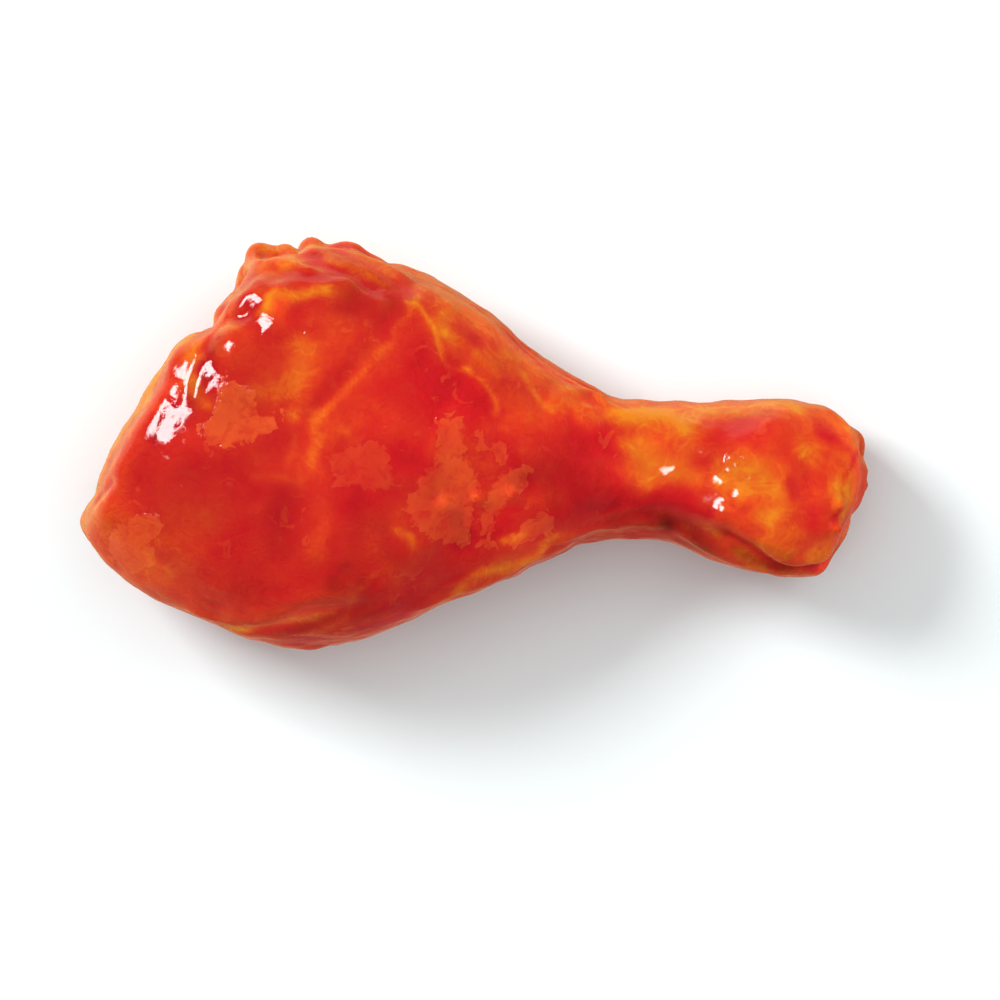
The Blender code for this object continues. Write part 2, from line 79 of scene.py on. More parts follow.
BROAD_FORMS = (
    # the pointed tip and the blunt corner of the thick end
    Fold(((-63.0, -13.2, 17.0),), 5.0, 5.0, 0.8),
    Fold(((-36.5, 31.0, 24.0),), 4.0, 4.0, 0.6),
    Fold(((-36.8, 32.0, 22.0),), 2.2, 2.2, 0.9),
    Fold(((-42.6, 22.2, 24.0),), 2.2, 2.2, 1.4),
    Fold(((-21.4, 33.4, 22.0),), 2.8, 2.8, 1.2),
    # the shoulder along the neck, with a steep side under it, and the swellings of the neck and the knuckle
    Fold(((20.7, -6.4), (29.0, -7.0), (37.2, -10.2), (44.7, -14.0), (49.6, -16.8)), 9.0, 3.5, 1.7),
    Fold(((52.1, -14.6), (56.2, -14.0)), 5.0, 5.0, 1.3),
    Fold(((50.5, 0.6),), 6.0, 6.0, 1.2),
    Fold(((35.6, 2.5),), 6.0, 4.0, 0.3),
    Fold(((48.8, -8.0),), 4.5, 4.5, 0.8),
    # the flat place near the thick end's rim, which the light falls on
    Fold(((-51.5, 0.0),), 6.0, 6.0, 0.9),
    Fold(((-46.0, 15.0),), 5.0, 5.0, -0.7),
    Fold(((-40.5, 15.0),), 3.0, 3.0, 0.8),
    # dents of the knuckle and the neck
    Fold(((43.4, 3.4),), 4.0, 4.0, -1.1),
    Fold(((59.1, 1.9),), 3.5, 3.5, -0.6),
    Fold(((54.1, -4.4),), 3.5, 3.5, -0.6),
    Fold(((19.1, -1.1), (26.0, -2.5)), 5.0, 4.0, -0.9),
    # the undercut below the knuckle's lower lobe, the valley that leads to it, and the ridge under it
    Fold(((41.5, -14.9), (46.0, -17.6), (50.5, -19.9), (55.0, -20.9), (58.0, -19.8)), 1.5, 1.5, -1.7),
    Fold(((29.0, -12.4), (35.5, -13.4), (40.5, -15.4)), 2.6, 2.0, -0.7),
    Fold(((34.0, -15.6), (40.0, -18.2), (46.0, -20.2), (53.0, -21.2)), 1.3, 1.3, 0.5),
    Fold(((40.0, -12.4), (44.0, -14.1), (47.5, -16.3), (51.0, -18.3), (54.5, -19.0), (57.4, -18.2)),
         1.1, 1.1, 0.6),
    # the two muscles below the seam and the dip between them
    Fold(((-9.0, 5.0), (2.0, -4.0), (14.0, -9.0)), 7.0, 7.0, 1.3),
    Fold(((-40.0, -12.0), (-34.0, -20.0)), 9.0, 9.0, 1.2),
    Fold(((-3.0, -15.0), (8.0, -14.0)), 5.0, 5.0, -0.8),
    # the far side's groove between muscles, and two on the underside
    Fold(((-22.0, 33.0, 12.0), (-6.0, 27.0, 12.0), (8.0, 16.0, 13.0), (20.0, 8.0, 13.0)), 3.0, 3.5, -1.4),
    Fold(((-48.0, -6.0, 2.0), (-26.0, -17.0, 1.0), (-2.0, -15.0, 3.0), (20.0, -8.0, 7.0)), 3.5, 3.0, -1.6),
    Fold(((-40.0, 16.0, 1.0), (-20.0, 14.0, 1.0), (4.0, 7.0, 4.0)), 3.0, 4.0, -1.3),
    # the cut face of the thick end: a shallow hollow with the joint's two knobs in it
    Fold(((-54.6, 8.6, 18.0),), 11.0, 11.0, -1.5),
    Fold(((-51.5, 14.5, 19.0),), 5.0, 5.0, 1.5),
    Fold(((-57.0, 2.5, 18.0),), 5.5, 5.5, 1.7),
)

# Upright bulges and dents that show in the outline seen from above: the place, the lowest and highest
# ends of the line, how far it reaches to each side, and its height.
OUTLINE_FORMS = (
    # the folded skin and the edge of the thick end
    (-32.8, 33.5, 10.0, 27.0, 1.6, -1.1),
    (-29.6, 33.8, 10.0, 27.0, 1.4, -1.4),
    (-34.8, 33.2, 14.0, 27.0, 1.2, -0.6),
    (-25.0, 33.4, 10.0, 27.0, 1.6, -0.4),
    (-37.6, 31.6, 14.0, 26.0, 1.3, 0.7),
    (-40.2, 27.8, 20.0, 28.0, 2.4, -2.0),
    (-41.6, 24.0, 12.0, 28.0, 1.3, 0.7),
    (-44.0, 19.8, 10.0, 26.0, 1.2, -0.5),
    (-47.3, 18.0, 10.0, 28.0, 1.8, 0.35),
    (-55.7, 5.0, 14.0, 30.0, 2.0, -0.3),
    (-62.8, -8.6, 18.0, 28.0, 1.6, -0.7),
    (-61.0, -19.4, 14.0, 29.0, 2.0, 0.5),
    # the far side
    (-19.2, 32.5, 14.0, 26.0, 1.6, 0.4),
    (-14.3, 29.6, 14.0, 26.0, 1.2, -0.6),
    (-0.5, 23.6, 14.0, 26.0, 4.0, -0.3),
    (9.0, 15.8, 14.0, 26.0, 5.0, -0.6),
    (24.6, 7.6, 8.0, 18.0, 2.4, -0.4),
    (30.0, 7.3, 8.0, 18.0, 3.2, -0.6),
    (41.5, 6.9, 8.0, 16.0, 2.0, 0.4),
    # the near side
    (-38.4, -31.6, 12.0, 28.0, 3.5, 0.8),
    (-32.4, -33.5, 12.0, 28.0, 2.4, 0.5),
    (-1.5, -25.3, 10.0, 26.0, 3.0, 0.4),
    (5.8, -22.2, 10.0, 24.0, 2.2, 0.6),
    (17.0, -17.3, 10.0, 21.0, 3.0, -0.5),
    (27.0, -15.9, 8.0, 17.0, 3.2, 0.4),
    (41.2, -19.8, 6.0, 15.0, 2.0, -0.6),
    (46.5, -21.6, 6.0, 15.0, 2.4, -0.4),
    # the knuckle's end
    (60.6, 4.2, 6.0, 17.0, 2.0, -0.7),
    (64.3, -2.2, 8.0, 17.0, 1.8, -1.0),
    (65.2, -7.8, 9.0, 14.0, 0.9, 0.4),
    (63.6, -9.7, 8.0, 15.0, 0.9, -0.7),
    (62.4, -12.4, 8.0, 17.0, 1.4, -0.8),
    (59.8, -18.0, 6.0, 15.0, 1.6, -0.7),
)

SEAM = ((-8.7, 24.0), (-11.5, 20.1), (-14.8, 15.8), (-20.2, 9.5), (-24.5, 5.2))
BAND = ((-23.9, 3.1), (-25.2, -6.0), (-26.8, -15.9), (-30.5, -25.9))
CORNER_RIM = ((-38.6, 28.2), (-37.7, 30.6), (-36.1, 32.3), (-32.1, 32.3), (-28.8, 32.5), (-23.9, 31.6),
              (-20.6, 30.8), (-16.9, 29.3), (-12.3, 27.2))
CORNER_VALLEY = ((-39.1, 29.0), (-35.1, 31.2), (-30.5, 31.0), (-26.3, 30.0), (-21.4, 28.3), (-16.4, 25.4))
FIRST_LOBE = ((-37.5, 28.2), (-35.6, 29.3), (-33.0, 29.7), (-30.5, 29.4), (-27.5, 28.5))
SECOND_LOBE = ((-34.4, 23.9), (-32.8, 25.2), (-30.8, 25.6), (-26.8, 25.4), (-21.4, 25.9))
SKIN_EDGE = ((-9.3, 23.0), (-5.7, 18.7), (-1.1, 13.5), (4.2, 7.8), (7.5, 3.9))
NECK_CREASE = ((13.5, 7.5), (18.3, 8.2), (21.4, 6.2), (25.4, 4.5))
SLEEVE = ((63.8, 0.5, 15.0), (63.4, -2.6, 15.0), (61.9, -5.7, 17.0), (60.8, -10.2, 16.0),
          (60.2, -14.3, 14.0), (58.9, -17.3, 12.0))
CUT_RIM = ((-46.0, 21.0, 9.0), (-43.5, 21.5, 20.0), (-49.5, 15.0, 30.0), (-55.0, 5.0, 31.5),
           (-60.5, -6.0, 28.0), (-63.5, -13.0, 18.0), (-61.5, -11.0, 8.0), (-55.0, 2.0, 5.0),
           (-49.0, 14.0, 5.5), (-46.0, 21.0, 9.0))

SKIN_FOLDS = (
    Fold(SEAM, 8.0, 1.6, 0.7),
    Fold(BAND, 2.8, 3.2, 0.45),
    # the folded skin in the far left corner
    Fold(CORNER_RIM, 1.6, 2.2, 1.0),
    Fold(CORNER_VALLEY, 1.3, 1.6, -1.2),
    Fold(FIRST_LOBE, 1.5, 2.4, 1.2),
    Fold(SECOND_LOBE, 1.4, 2.4, 1.1),
    Fold(((-27.8, 33.5, 20.0),), 1.6, 1.6, 1.4),
    Fold(((-23.9, 33.2, 24.0), (-19.2, 32.3, 24.0), (-16.3, 30.6, 24.0)), 1.4, 1.4, -0.9),
    # the smaller lobes and dents along the thick end's edge
    Fold(((-32.8, 18.8), (-32.2, 20.9), (-30.6, 22.6)), 1.5, 1.5, 0.8),
    Fold(((-37.5, 23.8), (-34.6, 26.0)), 1.6, 1.6, 1.0),
    Fold(((-47.0, 16.0), (-49.0, 13.0)), 2.6, 2.6, 1.1),
    Fold(((-42.0, 19.5), (-38.0, 20.0)), 1.6, 1.6, -1.2),
    Fold(((-58.4, 1.7, 24.0),), 1.6, 1.6, -1.3),
    Fold(((-62.0, -9.5), (-59.5, -6.9)), 1.2, 1.2, -0.9),
    # folds low on the near side
    Fold(((-46.0, -27.6), (-38.7, -28.9), (-31.3, -27.8), (-28.2, -26.0), (-23.9, -23.9),
          (-21.2, -22.9)), 2.4, 1.8, 1.0),
    Fold(((-35.1, -31.0), (-28.8, -30.3), (-23.9, -28.8), (-18.9, -26.8)), 1.6, 1.6, -0.9),
    Fold(((-27.8, -33.4, 20.0),), 2.0, 2.0, 0.7),
    Fold(((-9.0, -26.4), (-0.7, -23.1), (7.5, -19.8), (14.1, -17.0)), 1.2, 1.8, 0.8),
    Fold(((14.1, -15.9), (22.4, -13.8), (30.6, -13.2)), 1.2, 1.8, 0.7),
    # soft lumps in the middle of the meat
    Fold(((-4.6, -10.6),), 1.8, 1.8, 0.8),
    Fold(((1.0, -9.8),), 1.6, 1.6, 0.7),
    Fold(((6.4, -8.8),), 1.6, 1.6, 0.8),
    Fold(((-12.3, -16.8),), 4.5, 4.5, 0.9),
    Fold(((-7.4, -4.4),), 4.0, 4.0, 0.8),
    Fold(((-13.1, 2.2),), 5.0, 5.0, 0.8),
    # the skin's edge on the far slope, and the crease where the neck starts
    Fold(SKIN_EDGE, 5.0, 2.4, 0.4),
    Fold(NECK_CREASE, 1.3, 1.8, 0.7),
    # the sleeve of skin round the knuckle's end, and the two tendon ends that stick out of it
    Fold(SLEEVE, 0.9, 2.2, 1.2),
    Fold(((64.2, -7.0, 12.0),), 1.6, 1.6, 1.6),
    Fold(((62.6, -11.2, 9.5),), 1.5, 1.5, 1.0),
    # the rim of skin round the cut face of the thick end
    Fold(CUT_RIM, 2.2, 2.2, 0.9),
)

# Relief that is too fine for the solid.
FINE_FOLDS = (
    # small bulges of the sauce that catch the light: on the neck, in the middle and on the sleeve
    Fold(((32.9, -4.4),), 2.1, 2.1, 0.70),
    Fold(((40.6, -6.9),), 1.6, 1.6, 0.36),
    Fold(((43.2, -8.9), (45.4, -10.8)), 1.5, 1.5, 0.34),
    Fold(((-5.6, -10.1),), 1.0, 1.0, 0.95),
    Fold(((0.0, -9.2),), 1.0, 1.0, 0.86),
    Fold(((5.6, -8.2),), 1.0, 1.0, 0.80),
    Fold(((59.5, -10.6),), 1.0, 1.0, 1.25),
    Fold(((59.0, -14.1),), 1.0, 1.0, 1.50),
    # by the thick end's rim
    Fold(((-48.7, 13.0), (-48.7, 11.2)), 1.2, 1.2, -0.30),
    Fold(((-48.7, 8.8), (-48.6, 7.2)), 1.2, 1.2, 0.17),
    Fold(((-47.0, 8.4), (-46.9, 6.6)), 1.0, 1.0, -0.15),
    # by the folded corner
    Fold(((-32.1, 24.3),), 1.4, 1.4, 0.80),
    Fold(((-33.5, 22.5), (-34.9, 20.8)), 1.3, 1.3, 0.36),
    Fold(((-35.9, 25.9),), 1.3, 1.3, 0.30),
    Fold(((-38.7, 20.9),), 1.6, 1.6, 0.30),
    # bubbles and ridges in the sauce
    Fold(((-4.3, 22.2),), 0.8, 0.8, 0.5),
    Fold(((-35.6, -11.1),), 1.0, 1.0, 0.45),
    Fold(((-44.5, 13.5), (-45.5, 10.0), (-46.0, 6.5)), 1.2, 1.2, 0.35),
    Fold(((-8.0, -7.0), (-7.0, -2.0), (-6.0, 3.0)), 1.4, 1.4, 0.35),
    Fold(((13.0, 6.6), (16.5, 5.6), (20.0, 5.2)), 0.8, 1.4, 0.4),
    Fold(((40.8, -11.0), (43.0, -12.0), (45.5, -13.5)), 0.8, 1.4, 0.4),
)

# Soft unevenness of the meat: pairs of lump size and height.
LUMPS = ((15.0, 0.75), (7.5, 0.35), (3.8, 0.13))
FINE_LUMPS = ((2.1, 0.07), (1.2, 0.03))

# How strong the fine wrinkles are, and pairs of how far apart and how much they come and go.
WRINKLE_STRENGTH = 0.45
WRINKLE_BREAKS = ((6.0, 1.3), (2.5, 0.6))

# The first seed of each random pattern.
LUMP_SEED = 0
FINE_LUMP_SEED = 10
WRINKLE_SEED = 20
TINT_SEED = 40
WANDER_SEED = 50
FILM_SEED = 60

BODY_RINGS = 215
THICK_END_RINGS = 62
KNUCKLE_RINGS = 34
POINTS_AROUND = 300
FORM_SMOOTHING = 20
SKIN_SMOOTHING = 2
LINE_STEP = 0.5
UPWARD = 0.05
FLOOR_BLEND = 1.0
FLOOR_SINK = 0.2


def spline_columns(table, places):
    """The rows of table at fractional row numbers, on a natural cubic spline through each column."""
    count = len(table)
    matrix = np.eye(count)
    right = np.zeros(table.shape)
    for i in range(1, count - 1):
        matrix[i, i - 1:i + 2] = 1.0, 4.0, 1.0
        right[i] = 6.0 * (table[i - 1] - 2.0 * table[i] + table[i + 1])
    bend = np.linalg.solve(matrix, right)
    first = np.clip(np.floor(places).astype(int), 0, count - 2)
    b = (places - first)[:, None]
    a = 1.0 - b
    straight = a * table[first] + b * table[first + 1]
    return straight + ((a ** 3 - a) * bend[first] + (b ** 3 - b) * bend[first + 1]) / 6.0


def unit(vectors):
    return vectors / np.maximum(np.linalg.norm(vectors, axis=-1, keepdims=True), 1e-9)


def section_radius(rib, across, up):
    """How far a rib's outline is from its ridge line in the direction (across, up), a unit vector."""
    width = np.linalg.norm(rib[..., 0:2] - rib[..., 2:4], axis=-1)
    side = np.where(across > 0, rib[..., 4], 1.0 - rib[..., 4]) * width
    rise = np.where(up > 0, rib[..., 5] - rib[..., 6], rib[..., 6] - rib[..., 7])
    crown = 0.5 + 0.5 * np.clip(up * 2.0, -1.0, 1.0)
    power = UNDERSIDE_SQUARENESS + (rib[..., 8] - UNDERSIDE_SQUARENESS) * crown
    total = np.abs(across / side) ** power + np.abs(up / rise) ** power
    return total ** (-1.0 / power)


def end_leans(end, radius, count):
    """The angles, from the rim to the pole, at which rings are evenly spaced over a bulging end."""
    turn = np.linspace(0.0, np.pi / 2.0, 400)
    out = radius * np.cos(turn) ** (2.0 / end.squareness)
    up = end.bulge * np.sin(turn) ** (2.0 / end.squareness)
    travel = np.concatenate([[0.0], np.cumsum(np.hypot(np.diff(out), np.diff(up)))])
    wanted = np.linspace(0.0, travel[-1], count + 1)[1:]
    return np.interp(wanted, travel, np.arctan2(up, out))


def rings_of(rib, lean, end, facing):
    """Rings of points for ribs whose angles lean out over an end. Facing is -1 at -X and 1 at +X."""
    turn = np.linspace(0.0, 2.0 * np.pi, POINTS_AROUND, endpoint=False)
    rib, lean = rib[:, None, :], lean[:, None]
    width = np.linalg.norm(rib[..., 0:2] - rib[..., 2:4], axis=-1)
    direction = np.stack([width * np.cos(turn), (rib[..., 5] - rib[..., 7]) * np.sin(turn)], axis=-1)
    across, up = np.moveaxis(unit(direction), -1, 0)
    over = (np.cos(lean) / section_radius(rib, across, up)) ** end.squareness
    reach = (over + (np.sin(lean) / end.bulge) ** end.squareness) ** (-1.0 / end.squareness)
    aside = reach * np.cos(lean) * across
    share = rib[..., 4] - aside / width
    kept = np.interp(share, end.places, end.shares)
    to_far = unit(rib[..., 0:2] - rib[..., 2:4])
    outwards = facing * np.stack([to_far[..., 1], -to_far[..., 0]], axis=-1)
    ridge = rib[..., 0:2] + (rib[..., 2:4] - rib[..., 0:2]) * rib[..., 4:5]
    plan = ridge + to_far * aside[..., None] + outwards * (reach * np.sin(lean) * kept)[..., None]
    level = rib[..., 6] + reach * np.cos(lean) * up
    return np.concatenate([plan, level[..., None]], axis=-1)


def bare_form():
    """Rings of points from the thick end's pole to the knuckle's pole, with no relief."""
    last = len(RIBS) - 1.0
    widths = np.linalg.norm(RIBS[:, 0:2] - RIBS[:, 2:4], axis=1)
    body = spline_columns(RIBS, np.linspace(0.0, last, BODY_RINGS))
    thick_end = np.repeat(body[:1], THICK_END_RINGS, axis=0)
    thick_leans = end_leans(THICK_END, widths[0] / 2.0, THICK_END_RINGS)[::-1]
    knuckle = np.repeat(body[-1:], KNUCKLE_RINGS, axis=0)
    knuckle_leans = end_leans(KNUCKLE, widths[-1] / 2.0, KNUCKLE_RINGS)
    return np.concatenate([
        rings_of(thick_end, thick_leans, THICK_END, -1.0),
        rings_of(body, np.zeros(BODY_RINGS), KNUCKLE, 1.0),
        rings_of(knuckle, knuckle_leans, KNUCKLE, 1.0),
    ])


def smoothed(skin, passes):
    """The rings after each point is averaged with its neighbours."""
    for _ in range(passes):
        skin = 0.5 * skin + 0.25 * (np.roll(skin, 1, axis=1) + np.roll(skin, -1, axis=1))
        along = skin.copy()
        along[1:-1] = 0.5 * skin[1:-1] + 0.25 * (skin[:-2] + skin[2:])
        along[0] = skin[1].mean(axis=0)
        along[-1] = skin[-2].mean(axis=0)
        skin = along
    return skin


def normals_of(skin):
    """The outward direction at each point of the rings."""
    along = np.gradient(skin, axis=0)
    around = np.roll(skin, -1, axis=1) - np.roll(skin, 1, axis=1)
    outward = unit(np.cross(around, along))
    outward[0] = unit(outward[1].mean(axis=0))
    outward[-1] = unit(outward[-2].mean(axis=0))
    return outward


def line_on(skin, outward, places):
    """Closely spaced points on a smooth line through places, laid on the skin."""
    points = skin.reshape(-1, 3)
    turned_down = outward.reshape(-1, 3)[:, 2] < UPWARD
    seen_from_above = np.where(turned_down[:, None], np.inf, points)
    anchors = []
    for place in places:
        within = seen_from_above[:, :2] if len(place) == 2 else points
        anchors.append(points[np.argmin(((within - place) ** 2).sum(axis=1))])
    anchors = np.array(anchors)
    if len(anchors) < 3:
        anchors = np.linspace(anchors[0], anchors[-1], 3)
    length = np.linalg.norm(np.diff(anchors, axis=0), axis=1).sum()
    return spline_columns(anchors, np.linspace(0.0, len(anchors) - 1.0, int(length / LINE_STEP) + 3))


def fold_field(skin, folds):
    """The sum of the folds' heights at each point of the skin."""
    outward = normals_of(skin)
    points, directions = skin.reshape(-1, 3), outward.reshape(-1, 3)
    field = np.zeros(len(points))
    for fold in folds:
        line = line_on(skin, outward, fold.places)
        margin = 3.0 * max(fold.left, fold.right)
        inside = (points > line.min(axis=0) - margin) & (points < line.max(axis=0) + margin)
        near = np.where(inside.all(axis=1))[0]
        gaps = points[near, None, :] - line
        closest = np.argmin((gaps ** 2).sum(axis=2), axis=1)
        gap = gaps[np.arange(len(near)), closest]
        tangent = unit(np.gradient(line, axis=0))[closest]
        at_an_end = (closest == 0) | (closest == len(line) - 1)
        past = np.where(at_an_end, (gap * tangent).sum(axis=1), 0.0)
        beside = gap - past[:, None] * tangent
        side = (np.cross(directions[near], tangent) * gap).sum(axis=1)
        flank = np.where(side > 0, fold.left, fold.right)
        tip = (fold.left + fold.right) / 2.0
        distance = (beside ** 2).sum(axis=1) / flank ** 2 + (past / tip) ** 2
        field[near] += fold.height * np.exp(-distance)
    return field.reshape(skin.shape[:2])


def raise_folds(skin, folds):
    return skin + normals_of(skin) * fold_field(skin, folds)[..., None]


def upright(x, y, lowest, highest, reach, height):
    """A fold that runs up the side of the drumstick."""
    middle = 0.5 * (lowest + highest)
    return Fold(((x, y, lowest), (x, y, middle), (x, y, highest)), reach, reach, height)


def value_noise(points, cell, seed):
    """Smooth noise from -1 to 1: random values on a cubic lattice, eased between its corners."""
    size = 32
    lattice = np.random.default_rng(seed).uniform(-1.0, 1.0, (size, size, size))
    base = np.floor(points / cell).astype(int)
    part = points / cell - base
    part = part ** 3 * (part * (part * 6.0 - 15.0) + 10.0)
    total = np.zeros(points.shape[:-1])
    for corner in itertools.product((0, 1), repeat=3):
        weight = np.where(corner, part, 1.0 - part).prod(axis=-1)
        x, y, z = np.moveaxis((base + corner) % size, -1, 0)
        total += weight * lattice[x, y, z]
    return total


def layered_noise(points, sizes, first_seed):
    """The sum of noises that are given as pairs of cell size and height."""
    return sum(height * value_noise(points, cell, first_seed + i) for i, (cell, height) in enumerate(sizes))


def lumpy(skin, sizes, first_seed):
    return skin + normals_of(skin) * layered_noise(skin, sizes, first_seed)[..., None]


def on_floor(skin):
    """The skin eased flat where it rests, at Z 0, with its box centred on the Z axis."""
    level = 0.5 * (skin[..., 2] + np.hypot(skin[..., 2], FLOOR_BLEND)) - FLOOR_SINK
    skin = np.concatenate([skin[..., :2], np.maximum(level, 0.0)[..., None]], axis=-1)
    middle = 0.5 * (skin.min(axis=(0, 1)) + skin.max(axis=(0, 1)))
    return skin - (middle[0], middle[1], 0.0)


def parallel(places, step, count):
    """The line and its copies, each moved on by step."""
    for i in range(count):
        yield tuple(tuple(a + i * b for a, b in zip(place, step)) for place in places)


def wrinkles():
    """Fine parallel wrinkles of loose skin: on the near side of the meat and neck, and round the knuckle."""
    near_side = ((-10.0, -27.5), (-1.0, -23.8), (8.0, -19.6), (15.0, -16.2), (24.0, -14.2))
    for line in parallel(near_side, (1.5, 1.3), 4):
        yield Fold(line, 0.5, 0.8, 0.28)
    lower_knuckle = ((33.0, -15.6), (40.0, -18.2), (47.0, -20.2), (54.0, -20.8))
    for line in parallel(lower_knuckle, (-1.0, 1.4), 3):
        yield Fold(line, 0.5, 0.8, 0.25)
    far_rim = ((-31.0, 31.6), (-25.0, 30.7), (-19.0, 28.6), (-14.0, 25.6))
    for line in parallel(far_rim, (-0.6, -1.5), 3):
        yield Fold(line, 0.6, 1.0, 0.3)
    low_left = ((-45.0, -28.4), (-38.0, -30.2), (-31.0, -30.6), (-24.0, -29.6))
    for line in parallel(low_left, (0.8, 1.6), 4):
        yield Fold(line, 0.6, 0.9, 0.3)
    far_side = ((-14.0, 30.0, 17.0), (-2.0, 24.5, 17.0), (10.0, 15.0, 16.0), (20.0, 8.5, 14.0))
    for line in parallel(far_side, (0.5, 0.3, 2.4), 5):
        yield Fold(line, 0.7, 1.0, 0.3)
    underside = ((-36.0, -24.0, 4.0), (-20.0, -26.0, 4.0), (-4.0, -20.0, 6.0), (12.0, -12.0, 8.0))
    for line in parallel(underside, (0.4, -0.6, 2.3), 5):
        yield Fold(line, 0.7, 1.0, 0.3)


def drumstick_skin():
    """The rings of the whole drumstick, from its broad form to its finest relief."""
    skin = smoothed(bare_form(), FORM_SMOOTHING)
    skin = raise_folds(skin, BROAD_FORMS)
    skin = raise_folds(skin, [upright(*form) for form in OUTLINE_FORMS])
    skin = raise_folds(skin, SKIN_FOLDS)
    skin = lumpy(skin, LUMPS, LUMP_SEED)
    skin = smoothed(skin, SKIN_SMOOTHING)
    skin = raise_folds(skin, FINE_FOLDS)
    broken = np.clip(WRINKLE_STRENGTH + layered_noise(skin, WRINKLE_BREAKS, WRINKLE_SEED), 0.0, 1.0)
    skin = skin + normals_of(skin) * (broken * fold_field(skin, wrinkles()))[..., None]
    skin = lumpy(skin, FINE_LUMPS, FINE_LUMP_SEED)
    return on_floor(skin)


